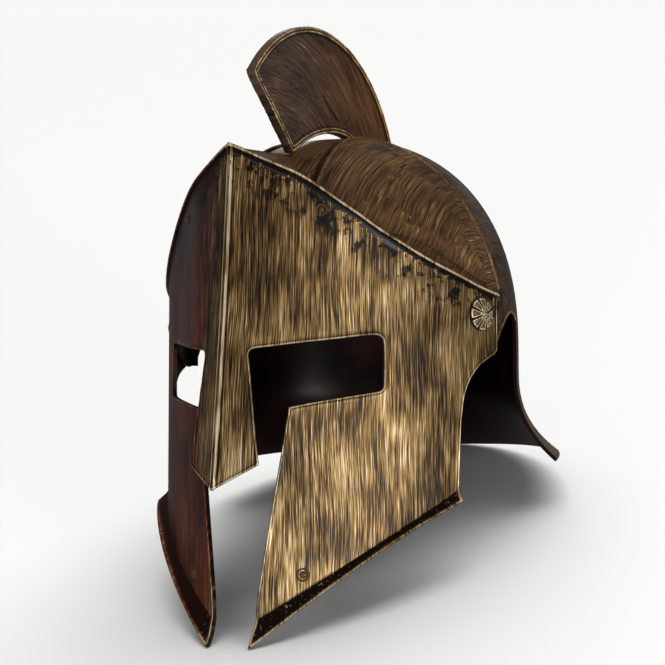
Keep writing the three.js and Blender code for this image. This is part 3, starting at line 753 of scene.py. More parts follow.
# %% Fill and thicken the crest
border = crest_outline()
rings = [ring_rows(centre, (0.9, 2.0, 2.5, 2.9, 3.4)) for centre in RING_MARKS["at"]]
crease = walk(CREASE, 1.0, curved=True)
across = np.gradient(crease, axis=0)[:, ::-1] * [-1, 1]
across = across / np.linalg.norm(across, axis=1)[:, None]
creases = [crease + across * side for side in (-0.8, -0.4, 0, 0.4, 0.8)]
border_rows = inset_rows(border, [depth for depth, _ in CREST_HALF[1:]] + [6.2])
rows = np.vstack([border_rows, *rings, *creases])
crest_net, crest_triangles = fill(border, rows, 2.4)
to_border = distance_to(crest_net, np.vstack([border, border[:1]]))
half_thick = through(CREST_HALF, np.minimum(to_border, 4.6))
for centre in RING_MARKS["at"]:
    from_ring = np.abs(np.linalg.norm(crest_net - centre, axis=1) - RING_MARKS["r"])
    half_thick = half_thick + RING_MARKS["proud"] * smooth(1 - from_ring / RING_MARKS["half"])
to_crease = distance_to(crest_net, crease)
half_thick = half_thick - CREASE_CUT["deep"] * smooth(1 - to_crease / CREASE_CUT["half"])
crest_y, crest_z = crest_net.T
left = np.column_stack([half_thick, crest_y, crest_z])
right = left * [-1, 1, 1]
sweep_y, sweep_z = (crest_net - CREST_SWEEP).T
arcs = np.column_stack([
    np.hypot(sweep_y, sweep_z), 120 * np.arctan2(sweep_z, sweep_y), np.zeros(len(crest_net))])
crest = shell("crest_plate", left, right, crest_triangles, {
    "stroke": arcs, "upright": left, "y_mm": crest_y, "z_mm": crest_z, "edge_mm": to_border,
    "crease_mm": to_crease}, back_slot=0)
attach(crest, "root")
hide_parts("crest")
print("crest:", len(crest.data.polygons), "faces")

# %% [markdown]
# ## Geometry Nodes for what repeats and what follows a path
# The beads on the skull follow paths: the border of each panel and the arch over each ear. The
# rosettes repeat one petal round a centre. Both are rules, so both are node trees with named
# inputs. One helper adds a node, one starts a tree and one ends it, and one runs a tree and turns
# what it makes into a plain mesh.

# %% Helpers for node trees
def add(tree, kind, inputs=(), **settings):
    """Adds one node with its settings, and fills its inputs in order or by name.

    An input takes a value, a socket, a node for its first output, or a list of nodes.
    """
    made = tree.nodes.new(kind)
    for name, value in settings.items():
        setattr(made, name, value)
    for key, value in inputs.items() if isinstance(inputs, dict) else enumerate(inputs):
        for source in value if isinstance(value, list) else [value]:
            if isinstance(source, bpy.types.Node):
                source = source.outputs[0]
            if isinstance(source, bpy.types.NodeSocket):
                tree.links.new(source, made.inputs[key])
            else:
                made.inputs[key].default_value = source
    return made


def geometry_tree(name, inputs):
    """An empty geometry tree that takes a geometry and some named inputs, and its start."""
    tree = bpy.data.node_groups.new(name, "GeometryNodeTree")
    for label, kind in {"Geometry": "NodeSocketGeometry", **inputs}.items():
        tree.interface.new_socket(label, in_out="INPUT", socket_type=kind)
    tree.interface.new_socket("Geometry", in_out="OUTPUT", socket_type="NodeSocketGeometry")
    return tree, add(tree, "NodeGroupInput").outputs


def finish_tree(tree, shape, material):
    """Makes instances real, gives them their material and ends the tree."""
    smoothed = add(tree, "GeometryNodeSetShadeSmooth", [shape])
    real = add(tree, "GeometryNodeRealizeInstances", [smoothed])
    finished = add(tree, "GeometryNodeSetMaterial", {"Geometry": real, "Material": material})
    add(tree, "NodeGroupOutput", [finished])


def grown(name, seed, tree, inputs):
    """Runs a tree on a seed object, and returns what it makes as a plain mesh object."""
    bpy.context.scene.collection.objects.link(seed)
    modifier = seed.modifiers.new("grow", "NODES")
    modifier.node_group = tree
    for item in tree.interface.items_tree:
        if item.in_out == "INPUT" and item.name in inputs:
            modifier[item.identifier] = inputs[item.name]
    graph = bpy.context.evaluated_depsgraph_get()
    mesh = bpy.data.meshes.new_from_object(seed.evaluated_get(graph))
    mesh.name = name
    mesh.set_sharp_from_angle(angle=SHARP)
    bpy.data.objects.remove(seed)
    made = bpy.data.objects.new(name, mesh)
    bpy.context.scene.collection.objects.link(made)
    return made


def path_object(points):
    """A curve object through upright points."""
    curve = bpy.data.curves.new("path", "CURVE")
    curve.dimensions = "3D"
    spline = curve.splines.new("POLY")
    where = placed(points)
    spline.points.add(len(where) - 1)
    spline.points.foreach_set("co", np.column_stack([where, np.ones(len(where))]).ravel())
    return bpy.data.objects.new("path", curve)


# %% [markdown]
# ## Colours and paint
# The plastic is sprayed a glossy black-brown first. Gold paint is then dragged over it with a
# nearly dry brush, so it catches on edges and ridges and breaks into thin streaks elsewhere, with
# the dark ground showing between them. Colours are given as screen values and turned to linear
# light by one function, because the shader adds light and not screen values.

# %% Colours and noise
def paint(code):
    """An sRGB hex colour as linear red, green, blue and alpha."""
    values = [int(code[i:i + 2], 16) / 255 for i in (1, 3, 5)]
    return (*[v / 12.92 if v <= 0.04045 else ((v + 0.055) / 1.055) ** 2.4 for v in values], 1.0)


def coloured(ramp, stops):
    """Fills a ramp node with stops of place and colour."""
    elements = ramp.color_ramp.elements
    while len(elements) < len(stops):
        elements.new(0.5)
    for element, (place, colour) in zip(elements, stops):
        element.position = place
        element.color = paint(colour)
    return ramp


def noise(tree, where, size, detail=2.0, roughness=0.5):
    """A noise in millimetres, evened to run about zero. `size` may differ by axis."""
    sizes = size if isinstance(size, tuple) else (size, size, size)
    per_mm = tuple(1 / value for value in sizes)
    scaled = add(tree, "ShaderNodeVectorMath", (where, per_mm), operation="MULTIPLY")
    made = add(tree, "ShaderNodeTexNoise", {
        "Vector": scaled, "Scale": 1.0, "Detail": detail, "Roughness": roughness})
    return add(tree, "ShaderNodeMath", (made.outputs["Fac"], 0.5), operation="SUBTRACT")


def on_piece(tree):
    """Brush places that a piece carries on its points."""
    return add(tree, "ShaderNodeAttribute", attribute_name="stroke").outputs["Vector"]


def on_object(tree):
    """Places in millimetres from the piece's own coordinates, for small or sprayed parts."""
    place = add(tree, "ShaderNodeTexCoord").outputs["Object"]
    return add(tree, "ShaderNodeVectorMath", (place, (1 / MM,) * 3), operation="MULTIPLY")


# %% [markdown]
# ### Marks
# A dry brush leaves more gold on a ridge and none in a groove. So each material has a table of
# marks. Some of them paint shade into a groove, a crease and on sides that the light misses, and a
# little painted light low on the cheeks. A mark is a gain, above zero where it adds gold, times
# bands: a band takes something that is measured on the piece, such as the distance to the rim, and
# runs smoothly from 0 to 1 between two of its values. One function turns any row of a table into nodes.

# %% Marks as rows of a table
def source_of(tree, where, source):
    """What a mark is measured by: a number, a value that the mesh carries, or a function's."""
    if isinstance(source, str):
        return add(tree, "ShaderNodeAttribute", attribute_name=source).outputs["Fac"]
    return source(tree, where) if callable(source) else source


def mark(tree, where, gain, *bands):
    """The gain times its bands."""
    made = source_of(tree, where, gain)
    for source, zero, one in bands:
        share = add(tree, "ShaderNodeMapRange", (source_of(tree, where, source), zero, one),
                    interpolation_type="SMOOTHSTEP")
        made = add(tree, "ShaderNodeMath", (made, share), operation="MULTIPLY")
    return made


def scaled(source, by, plus=0.0):
    """A gain or a source that follows another: so much of it, and a constant."""
    return lambda tree, where: add(
        tree, "ShaderNodeMath", (source_of(tree, where, source), by, plus), operation="MULTIPLY_ADD")


def grain(*settings):
    """A noise as a source: its size, and then its detail and roughness."""
    return lambda tree, where: noise(tree, where, *settings)


# %% [markdown]
# ### The brush
# One node group holds the brush itself: how much gold it left at a place, given in millimetres
# across the stroke and along it. Three noises, each stretched along the stroke, stand for single
# hairs, bunches of hairs and the drag of a whole stroke. A fourth is broad and stands for how
# full the brush was. A little sway keeps the hairs from running like rulers.

# %% The brush as a node group
STREAKS = (
    # across mm, along mm, weight
    (0.34, 14.0, 1.35),
    (0.62, 36.0, 1.00),
    (1.9, 90.0, 0.55),
)
SWAY = {"size": (34.0, 60.0, 34.0), "across": 5.0}
FULLNESS = (24.0, 44.0, 24.0)


def stroke_group():
    """The brush: it takes a place and gives the gold of its hairs and its broad patches."""
    tree = bpy.data.node_groups.new("brush_strokes", "ShaderNodeTree")
    tree.interface.new_socket("Place", in_out="INPUT", socket_type="NodeSocketVector")
    for label in ("Gold", "Patches"):
        tree.interface.new_socket(label, in_out="OUTPUT", socket_type="NodeSocketFloat")
    place = add(tree, "NodeGroupInput")
    sway = scaled(grain(SWAY["size"], 0.0), SWAY["across"])(tree, place)
    aside = add(tree, "ShaderNodeCombineXYZ", [sway])
    bent = add(tree, "ShaderNodeVectorMath", (place, aside), operation="ADD")
    total = 0.0
    for across, along, weight in STREAKS:
        total = scaled(grain((across, along, across), 1.5), weight, total)(tree, bent)
    add(tree, "NodeGroupOutput", (total, noise(tree, place, FULLNESS, 3.0)))
    return tree


strokes = stroke_group()


def empty_material(name):
    """A material without nodes, and its tree."""
    material = bpy.data.materials.new(name)
    material.use_nodes = True
    material.node_tree.nodes.clear()
    return material, material.node_tree


def painted_material(name, stops, bias, place, marks=(), hair=1.0, patch=0.9, warm=None,
                     metal=0.6, rough=(0.28, 0.44), specular=0.16):
    """Dry-brushed paint: the brush's hairs and patches, the marks, and a ramp from dark to gold."""
    material, tree = empty_material(name)
    where = place(tree)
    brush = add(tree, "ShaderNodeGroup", {0: where}, node_tree=strokes)
    gold = bias
    for share, label in ((hair, "Gold"), (patch, "Patches")):
        gold = scaled(brush.outputs[label], share, gold)(tree, where)
    for row in marks:
        gold = add(tree, "ShaderNodeMath", (gold, mark(tree, where, *row)), operation="ADD")
    gold = add(tree, "ShaderNodeClamp", [gold])
    colour = coloured(add(tree, "ShaderNodeValToRGB", [gold]), stops)
    if warm:
        share, warm_stops = warm
        warmer = coloured(add(tree, "ShaderNodeValToRGB", [gold]), warm_stops)
        colour = add(tree, "ShaderNodeMix", {
            0: mark(tree, where, *share), 6: colour, 7: warmer}, data_type="RGBA").outputs[2]
    roughness = add(tree, "ShaderNodeMapRange", {
        "Value": gold, "To Min": rough[0], "To Max": rough[1]})
    metallic = add(tree, "ShaderNodeMapRange", {
        "Value": gold, "From Min": 0.15, "From Max": 0.65, "To Max": metal})
    bump = add(tree, "ShaderNodeBump", {"Height": gold, "Strength": 0.6, "Distance": 0.14 * MM})
    shader = add(tree, "ShaderNodeBsdfPrincipled", {
        "Base Color": colour, "Roughness": roughness, "Metallic": metallic,
        "Specular IOR Level": specular, "Normal": bump})
    add(tree, "ShaderNodeOutputMaterial", {"Surface": shader})
    return material


# %% [markdown]
# ### Bronze paint, dragged with a dry brush
# This is the finish of the visor. What it gives the eye is a fine grain of gold streaks that run
# down the sheet, over a near-black ground that shows under the rim, on top of the flange and in
# broad patches. The gold carries metal flake, so it is partly metallic and shines in soft sheets;
# the ground is plain glossy plastic. The strokes are real paint with some body, so they are also
# raised by a tenth of a millimetre. Shade is painted in as well: in the groove under the rim, on
# the outer edge of the beads, on the brow and on the wearer's right side, which gets little gold
# and where the dark is tinted red-brown. Low on the cheeks the gold is raised as painted light.

# %% The visor's paint
def ragged_rim(tree, where):
    """The distance to the rim, made ragged."""
    return scaled(grain(3.0, 3.0), 9.0, source_of(tree, where, "rim_mm"))(tree, where)


def groove_shade_and_blots(tree, where):
    """Painted shade and black paint in the groove below the rim's bead, and some blots further down."""
    groove = mark(tree, where, 1.0, (ragged_rim, 5.2, 3.6))
    blots = mark(tree, where, 0.75, (grain((9.0, 11.0, 9.0), 4.0, 0.65), 0.0, 0.09), (
        "rim_mm", 24.0, 12.0))
    return add(tree, "ShaderNodeMath", (groove, blots), operation="MAXIMUM")


def from_keel(tree, where):
    """How far round the sheet from the keel, on either side."""
    return add(tree, "ShaderNodeMath", [source_of(tree, where, "side_mm")], operation="ABSOLUTE")


VISOR_MARKS = (
    # painted shade and black paint in the groove below the rim's bead, and blots further down
    (scaled(groove_shade_and_blots, -0.55), ("rim_mm", 1.5, 2.1)),
    # the brush runs along the crest of the rim's bead; its outer edge is painted black as shade
    (scaled(grain(5.0, 3.0), 0.8, 0.52), ("rim_mm", 0.35, 0.55), ("rim_mm", 1.65, 1.45)),
    (-0.5, ("rim_mm", 0.4, 0.25)),
    # the same on the thin beads of the other edges, with a faint crease inside and painted shade at the
    # very edge
    (scaled(grain(6.0, 3.0), 1.0, 0.36), ("edge_mm", 0.12, 0.3), ("edge_mm", 1.03, 0.85)),
    (-0.16, ("edge_mm", 0.8, 1.1), ("edge_mm", 1.8, 1.5)),
    (-0.4, ("edge_mm", 0.22, 0.12)),
    # two worn lines along the borders of the keel, with a dark crease outside each
    (0.55, (from_keel, 0.55, 0.8), (from_keel, 1.95, 1.7)),
    (-0.32, (from_keel, 1.8, 2.2), (from_keel, 3.1, 2.7)),
    # the top of the flange stays black, apart from specks of gold that the brush dropped
    (-0.75, ("flange", 0.0, 0.12), ("edge_mm", 1.2, 1.7), (grain(1.8, 3.0), 0.17, 0.10)),
    # painted shade: little gold on the wearer's right, away from the light, apart from next to the keel
    (-0.26, ("side_mm", -9.0, -30.0)),
    # painted shade on the brow, and painted light low on the cheeks, where the light falls most
    (-0.14, ("height_mm", -105.0, -30.0), ("side_mm", 80.0, 25.0)),
    (0.07, ("height_mm", -150.0, -215.0)),
)
BRONZE_STOPS = [
    (0.0, "#0e0906"), (0.20, "#241810"), (0.40, "#5a4326"), (0.62, "#9a7c4e"), (0.82, "#cbb083"),
    (1.0, "#efdfbe")]
# on the wearer's right, where the shade is painted, the dark is tinted red-brown
RED_STOPS = [
    (0.0, "#1c0604"), (0.2, "#4c140a"), (0.45, "#7a2a12"), (0.7, "#8f5429"), (1.0, "#c89c5e")]
RED_SHARE = (0.85, ("side_mm", -10.0, -26.0))
visor_paint = painted_material(
    "Bronze paint dry-brushed on moulded plastic", BRONZE_STOPS, 0.43, on_piece, VISOR_MARKS,
    hair=1.1, patch=1.15, warm=(RED_SHARE, RED_STOPS))

# %% [markdown]
# ### The inside
# The inside is only sprayed. It is smooth plastic under a glossy black-brown paint, so it gives
# the eye almost nothing but reflections. Soft clouds of red-brown are painted in as a warm
# reflection. The cut edges of the skull, which no brush reached, have it too.

# %% The inside's paint
def sprayed_material(name, stops, roughness):
    """Sprayed paint: a dark colour in soft clouds, and the fine waves of a thin wet film."""
    material, tree = empty_material(name)
    where = on_object(tree)
    clouds = scaled(grain(38.0, 4.0), 1.0, 0.5)(tree, where)
    colour = coloured(add(tree, "ShaderNodeValToRGB", [clouds]), stops)
    bump = add(tree, "ShaderNodeBump", {
        "Height": noise(tree, where, 0.9), "Strength": 0.15, "Distance": 0.1 * MM})
    shader = add(tree, "ShaderNodeBsdfPrincipled", {
        "Base Color": colour, "Roughness": roughness, "Specular IOR Level": 0.08, "Normal": bump})
    add(tree, "ShaderNodeOutputMaterial", {"Surface": shader})
    return material


# the red-brown stop is a painted warm reflection in the glossy inside
inside_paint = sprayed_material(
    "Black-brown spray on moulded plastic", [(0.36, "#070403"), (0.68, "#2a0f0b")], 0.3)

# %% [markdown]
# ### The skull and the crest
# The dome and the crest carry less gold, wiped on with a wider brush while the ground was still
# glossy, so they read as dark bronze with fine scratches. The strokes on the dome follow the hand
# round it: steep in front, level over the ear and falling behind. They come in dabs, so a Voronoi
# cell turns each dab a few degrees from its neighbours.

# %% The skull's paint
def dabs(size, jitter):
    """Places for a surface brushed in dabs, each at a slightly different angle."""
    def place(tree):
        where = on_piece(tree)
        wander = add(tree, "ShaderNodeTexNoise", {"Vector": where, "Scale": 0.07}).outputs["Color"]
        edge = add(tree, "ShaderNodeVectorMath", (wander, (size, size, 0.0)), operation="MULTIPLY")
        moved = add(tree, "ShaderNodeVectorMath", (where, edge), operation="ADD")
        cell = add(tree, "ShaderNodeTexVoronoi", {"Vector": moved, "Scale": 1 / size},
                   voronoi_dimensions="2D")
        random = add(tree, "ShaderNodeSeparateColor", [cell.outputs["Color"]])
        most = math.radians(jitter)
        turn = scaled(random.outputs[0], 2 * most, -most)(tree, where)
        return add(tree, "ShaderNodeVectorRotate", {"Vector": where, "Angle": turn},
                   rotation_type="Z_AXIS")
    return place


SKULL_MARKS = (
    # painted shade in the crease outside the panel's border
    (-0.32, ("panel_mm", -6.0, -4.0), ("panel_mm", 0.8, -1.2)),
    # behind the panels the brush hardly touched the dome
    (-0.2, ("panel_mm", 0.5, -1.5), ("y_mm", 96.0, 112.0)),
    # the flare of the guard was rubbed with gold near its rim
    (scaled("guard", 0.16),),
)
DARK_STOPS = [
    (0.0, "#0d0907"), (0.22, "#21170f"), (0.45, "#4a3521"), (0.68, "#745538"), (0.86, "#9c7a4a"),
    (1.0, "#cfae74")]
skull_paint = painted_material(
    "Dark bronze paint wiped over glossy plastic", DARK_STOPS, 0.48, dabs(32.0, 9), SKULL_MARKS,
    hair=0.95, patch=0.6, metal=0.4, rough=(0.26, 0.4))

# %% [markdown]
# The crest was brushed thinly too, almost level at the front and along the arc behind. Its
# raised border kept two fine gold lines, and the corner below its front edge has worn to gold.

# %% The crest's paint
def upright(tree):
    """Places on the crest in the upright drawing."""
    return add(tree, "ShaderNodeAttribute", attribute_name="upright").outputs["Vector"]


def crest_place(tree):
    """Dabs on the flat of the plate, and strokes that run along its narrow edge."""
    at = add(tree, "ShaderNodeSeparateXYZ", [upright(tree)]).outputs
    run = add(tree, "ShaderNodeMath", (at["Y"], at["Z"]), operation="SUBTRACT")
    strip = add(tree, "ShaderNodeCombineXYZ", (at["X"], run))
    on_edge = mark(tree, None, 1.0, ("edge_mm", 0.2, 0.05))
    return add(tree, "ShaderNodeMix", {0: on_edge, 4: dabs(60.0, 4)(tree), 5: strip},
               data_type="VECTOR").outputs[1]


def worn_spots(tree, where):
    """Spots where the plate has been knocked, the same on its face and its edge."""
    return noise(tree, upright(tree), 4.5, 5.0, 0.7)


line_gold = scaled(grain(9.0, 3.0), 1.2, 0.42)
CREST_MARKS = (
    # a gold line on each ridge of the border, with a dark line inside them
    (line_gold, ("edge_mm", 0.2, 0.45), ("edge_mm", 1.4, 1.15)),
    (line_gold, ("edge_mm", 2.2, 2.45), ("edge_mm", 3.15, 2.9)),
    (-0.24, ("edge_mm", 2.9, 3.3), ("edge_mm", 4.6, 4.2)),
    # the shallow crease in the middle of the plate
    (-0.24, ("crease_mm", 0.9, 0.3)),
    # gold patches on the edge of the plate, low in front
    (0.42, ("z_mm", 8.0, 13.0), ("z_mm", 27.0, 22.0), ("y_mm", 60.0, 52.0),
     ("edge_mm", 0.5, 0.1), (worn_spots, 0.0, 0.14)),
)
CREST_STOPS = [
    (0.0, "#100b0a"), (0.25, "#261c19"), (0.5, "#49382f"), (0.72, "#6b5344"), (0.88, "#a08560"),
    (1.0, "#d8bd88")]
REAR_STOPS = [
    (0.0, "#120b07"), (0.25, "#2b1a0f"), (0.5, "#553722"), (0.72, "#7c5433"), (0.88, "#a98250"),
    (1.0, "#d8b67c")]
REAR_SHARE = (1.0, ("y_mm", 60.0, 130.0))
crest_paint = painted_material(
    "Dark bronze paint on the flat of the crest", CREST_STOPS, 0.48, crest_place, CREST_MARKS,
    hair=0.8, patch=0.55, metal=0.35, rough=(0.28, 0.42), specular=0.1,
    warm=(REAR_SHARE, REAR_STOPS))

finishes = {visor: (visor_paint, inside_paint), skull: (skull_paint, inside_paint), crest: (crest_paint,)}
for piece, coats in finishes.items():
    for coat in coats:
        piece.data.materials.append(coat)
print("materials:", [m.name for m in bpy.data.materials if m.users])

# %% [markdown]
# ## Beads on the skull
# A bead is a round cord of plastic, partly sunk in the surface. Curve to Mesh sweeps a
# circle along each path. The paths are worked out on the dome itself: one along the band, round
# the corner of the panel and down the side, and one over the ear.

# %% Beads
bead_paint = painted_material(
    "Bronze paint rubbed along a moulded bead", DARK_STOPS, 0.62, on_object, hair=0.6, patch=0.8,
    metal=0.45)
bead_tree, start = geometry_tree("bead along a path", {"Radius": "NodeSocketFloat"})
profile = add(bead_tree, "GeometryNodeCurvePrimitiveCircle", {
    "Resolution": 10, "Radius": start["Radius"]})
swept = add(bead_tree, "GeometryNodeCurveToMesh", {
    "Curve": start["Geometry"], "Profile Curve": profile, "Fill Caps": True})
finish_tree(bead_tree, swept, bead_paint)

PANEL_BEAD = {"r": 1.25, "off": 0.85, "front": 31, "turn": (40, 86), "step": 1.5}
EAR_BEAD_R = 0.7


def on_dome(y, z):
    """The point of the dome at y and z, on the wearer's left."""
    rise = max(0.0, z - DOME["z"]) / DOME["height"]
    along = (y - DOME["y"]) / DOME["length"]
    across = max(0.0, (1 - rise ** DOME["full"]) ** (2 / DOME["full"]) - along ** 2)
    return (DOME["side"] * math.sqrt(across), y, z)


def over_x(x, y):
    """The point of the dome above x and y."""
    direction = math.atan2(y - DOME["y"], x)
    return (x, y, float(dome_height(direction, math.hypot(x, y - DOME["y"]))))


def panel_path():
    """The border of the left panel, from the visor's rim back and down to the ear."""
    x0, y0 = PANEL_BEAD["turn"]
    down = [over_x(float(through(PANEL["band"], y)), y)
            for y in np.arange(PANEL_BEAD["front"], y0, PANEL_BEAD["step"])]
    grid = np.array([over_x(x, y) for y in np.arange(26, 108, 0.5) for x in np.arange(14, 80, 0.5)])
    bend = grid[(np.abs(panel_depth(grid)) < 0.25) & (grid[:, 1] > y0 - 1) & (grid[:, 0] < x0)]
    bend = bend[np.argsort(np.arctan2(bend[:, 1] - y0, x0 - bend[:, 0]))][::3]
    side = [on_dome(PANEL["y"] + PANEL["slope"] * (PANEL["z"] - z), z)
            for z in np.arange(8.0, -73, -PANEL_BEAD["step"])]
    side = [p for p in side if p[0] > x0]
    return np.vstack([down, bend, side])


arch_line = np.vstack([column_points(c, c[1][short_rows - 1:short_rows]) for c in over_ear])
border_line = panel_path()
border_line = border_line + PANEL_BEAD["off"] * dome_normal(border_line)
bead_paths = {"panel_bead": (border_line, PANEL_BEAD["r"]), "ear_bead": (arch_line, EAR_BEAD_R)}
HANDS = ((1, "left"), (-1, "right"))
for name, (points, radius) in bead_paths.items():
    for side, hand in HANDS:
        path = path_object(points * [side, 1, 1])
        bead = grown(f"{name}_{hand}", path, bead_tree, {"Radius": radius * MM})
        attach(bead, "root")
        print(bead.name, len(bead.data.polygons), "faces")

# %% [markdown]
# ## Rosettes
# A rosette covers the rivet that joins visor and skull over each ear. It has eight petals that
# widen outwards round a small boss, and a low knob at the root of each. One petal is modelled,
# with a dished top, and Instance on Points sets it round a ring.

# %% Rosettes
ROSETTE = {"s": 139.6, "z": -86.6, "inner": 2.6, "outer": 8.6, "petals": 8, "height": 3.0}
PETAL_RINGS = (
    # size, height, how much gold the rub left
    (1.0, 0.0, 0.0),
    (1.0, 0.6, 0.1),
    (0.92, 0.95, 1.0),
    (0.74, 1.0, 1.0),
    (0.6, 0.6, 0.35),
    (0.2, 0.55, 0.55),
)
BOSS = {"r": 1.7, "z": 2.4, "flat": 0.75}
KNOBS = {"r": 0.7, "ring": 2.1, "z": 2.7}
BASE = {"r": 8.8, "thick": 0.8}
GILT_STOPS = [
    (0.0, "#0f0a07"), (0.3, "#33261a"), (0.55, "#7b694c"), (0.8, "#bda985"), (1.0, "#efe3c6")]
# The rub reaches the rims of the petals and misses the gaps and the dishes.
GILT_MARKS = ((scaled("rubbed", 0.72, -0.56),),)
gilt = painted_material(
    "Pale gold rubbed over raised ornament", GILT_STOPS, 0.60, on_object, GILT_MARKS, hair=0.45,
    patch=0.9, metal=0.45, rough=(0.3, 0.36))


def petal():
    """One petal along +X in metres: a wedge with a raised rim and a dished top."""
    r0, r1, height = ROSETTE["inner"], ROSETTE["outer"], ROSETTE["height"]
    wide = math.tan(math.pi / ROSETTE["petals"]) * 0.72
    corners = np.array([
        (r0, -r0 * wide), (r1 * 0.94, -r1 * wide), (r1, 0), (r1 * 0.94, r1 * wide), (r0, r0 * wide)])
    centre = np.array([(r0 + r1) / 2, 0])
    shape = bmesh.new()
    rubbed = shape.verts.layers.float.new("rubbed")
    loops = []
    for size, rise, gold in PETAL_RINGS:
        loop = []
        for x, y in centre + (corners - centre) * size:
            lower = 1.3 - 0.95 * (x - r0) / (r1 - r0)
            loop.append(shape.verts.new((x * MM, y * MM, height * rise * lower * MM)))
            loop[-1][rubbed] = gold
        loops.append(loop)
    shape.faces.new(loops[0][::-1])
    shape.faces.new(loops[-1])
    for low, high in zip(loops, loops[1:]):
        for i in range(len(corners)):
            j = (i + 1) % len(corners)
            shape.faces.new((low[i], low[j], high[j], high[i]))
    mesh = bpy.data.meshes.new("petal")
    shape.to_mesh(mesh)
    shape.free()
    return bpy.data.objects.new("petal", mesh)


# %% [markdown]
# ### The rosette's tree
# The ring that carries the petals is a hundredth of a petal wide. It only gives each petal its
# direction, because a petal's own points already stand at their distance from the middle. The
# petals bring their `rubbed` values with them, and the boss and the knobs are given one.

# %% Build the rosette's tree
def rosette_nodes():
    """Petals round a ring on a thin base, with a boss and small knobs in the middle."""
    tree, start = geometry_tree("rosette", {
        "Petals": "NodeSocketInt", "Boss Radius": "NodeSocketFloat",
        "Boss Height": "NodeSocketFloat"})
    ring = add(tree, "GeometryNodeMeshCircle", {"Vertices": start["Petals"], "Radius": 0.02 * MM})
    outwards = add(tree, "FunctionNodeAlignRotationToVector", {
        "Vector": add(tree, "GeometryNodeInputPosition")}, axis="X")
    petals = add(tree, "GeometryNodeInstanceOnPoints", {
        "Points": ring, "Instance": start["Geometry"], "Rotation": outwards})
    boss = add(tree, "GeometryNodeMeshUVSphere", {
        "Segments": 16, "Rings": 10, "Radius": start["Boss Radius"]})
    boss_place = add(tree, "ShaderNodeCombineXYZ", {"Z": start["Boss Height"]})
    boss_set = add(tree, "GeometryNodeTransform", {
        "Geometry": boss, "Translation": boss_place, "Scale": (1, 1, BOSS["flat"])})
    knob_ring = add(tree, "GeometryNodeMeshCircle", {
        "Vertices": start["Petals"], "Radius": KNOBS["ring"] * MM})
    knob = add(tree, "GeometryNodeMeshUVSphere", {
        "Segments": 10, "Rings": 6, "Radius": KNOBS["r"] * MM})
    knobs = add(tree, "GeometryNodeInstanceOnPoints", {"Points": knob_ring, "Instance": knob})
    knobs_set = add(tree, "GeometryNodeTransform", {
        "Geometry": knobs, "Translation": (0, 0, KNOBS["z"] * MM)})
    base = add(tree, "GeometryNodeMeshCylinder", {
        "Vertices": 48, "Radius": BASE["r"] * MM, "Depth": BASE["thick"] * MM})
    base_set = add(tree, "GeometryNodeTransform", {
        "Geometry": base, "Translation": (0, 0, BASE["thick"] / 2 * MM)})
    middle = add(tree, "GeometryNodeJoinGeometry", {0: [boss_set, knobs_set]})
    real_middle = add(tree, "GeometryNodeRealizeInstances", [middle])
    rubbed_middle = add(tree, "GeometryNodeStoreNamedAttribute", {
        "Geometry": real_middle, "Name": "rubbed", "Value": 0.8}, data_type="FLOAT", domain="POINT")
    joined = add(tree, "GeometryNodeJoinGeometry", {0: [base_set, petals, rubbed_middle]})
    finish_tree(tree, joined, gilt)
    return tree


# %% [markdown]
# ### Setting a piece on the visor
# Small pieces are made round the world's origin with Z up. The plan of the sheet gives the way the
# visor faces at any place, and a matrix with that way as its third column turns the piece to it.

# %% Place the rosettes
def set_on_sheet(piece, s, z, side, lift):
    """Moves a piece's mesh from the world's origin on to the visor, its Z pointing out of it."""
    _, _, angle = plan(s)
    spot = sheet(side * s, z, lift)[0]
    out = np.array([side * math.sin(angle), -math.cos(angle), 0])
    up = np.array([0, 0, 1.0])
    turn = np.column_stack([np.cross(up, out), up, out])
    local = np.array([tuple(v.co) for v in piece.data.vertices]) / MM
    piece.data.vertices.foreach_set("co", placed(local @ turn.T + spot).ravel())
    piece.data.update()


rosette_tree = rosette_nodes()
sizes = {"Petals": ROSETTE["petals"], "Boss Radius": BOSS["r"] * MM, "Boss Height": BOSS["z"] * MM}
for side, hand in HANDS:
    rosette = grown(f"ear_rosette_petals_{hand}", petal(), rosette_tree, sizes)
    set_on_sheet(rosette, ROSETTE["s"], ROSETTE["z"], side, 0.45)
    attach(rosette, "root")
    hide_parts(f"ear_rosette_{hand}")
    print(rosette.name, len(rosette.data.polygons), "faces")

# %% [markdown]
# ## Rivets
# A rivet head is a small ring round a low button. The ring is a circle swept round a circle. The
# tree makes all of it from one radius, so the object that it runs on is left empty.

# %% Rivets
RIVETS = {"brow_rivet": (48.3, -35.2, 2.6), "cheek_rivet": (38.4, -222.8, 3.0)}
RING_SECTION = 0.55
BUTTON = (0.62, 0.62, 0.22)

rivet_tree, start = geometry_tree("ring rivet", {"Radius": "NodeSocketFloat"})
section = add(rivet_tree, "GeometryNodeCurvePrimitiveCircle", {
    "Resolution": 12, "Radius": RING_SECTION * MM})
round_path = add(rivet_tree, "GeometryNodeCurvePrimitiveCircle", {
    "Resolution": 36, "Radius": start["Radius"]})
ring = add(rivet_tree, "GeometryNodeCurveToMesh", {"Curve": round_path, "Profile Curve": section})
ball = add(rivet_tree, "GeometryNodeMeshUVSphere", {
    "Segments": 24, "Rings": 12, "Radius": start["Radius"]})
button = add(rivet_tree, "GeometryNodeTransform", {"Geometry": ball, "Scale": BUTTON})
joined = add(rivet_tree, "GeometryNodeJoinGeometry", {0: [ring, button]})
finish_tree(rivet_tree, joined, bead_paint)
for name, (at_s, at_z, radius) in RIVETS.items():
    for side, hand in HANDS:
        seed = bpy.data.objects.new("seed", bpy.data.meshes.new("seed"))
        rivet = grown(f"{name}_ring_{hand}", seed, rivet_tree, {"Radius": radius * MM})
        set_on_sheet(rivet, at_s, at_z, side, 0.25)
        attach(rivet, "root")
        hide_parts(f"{name}_{hand}")

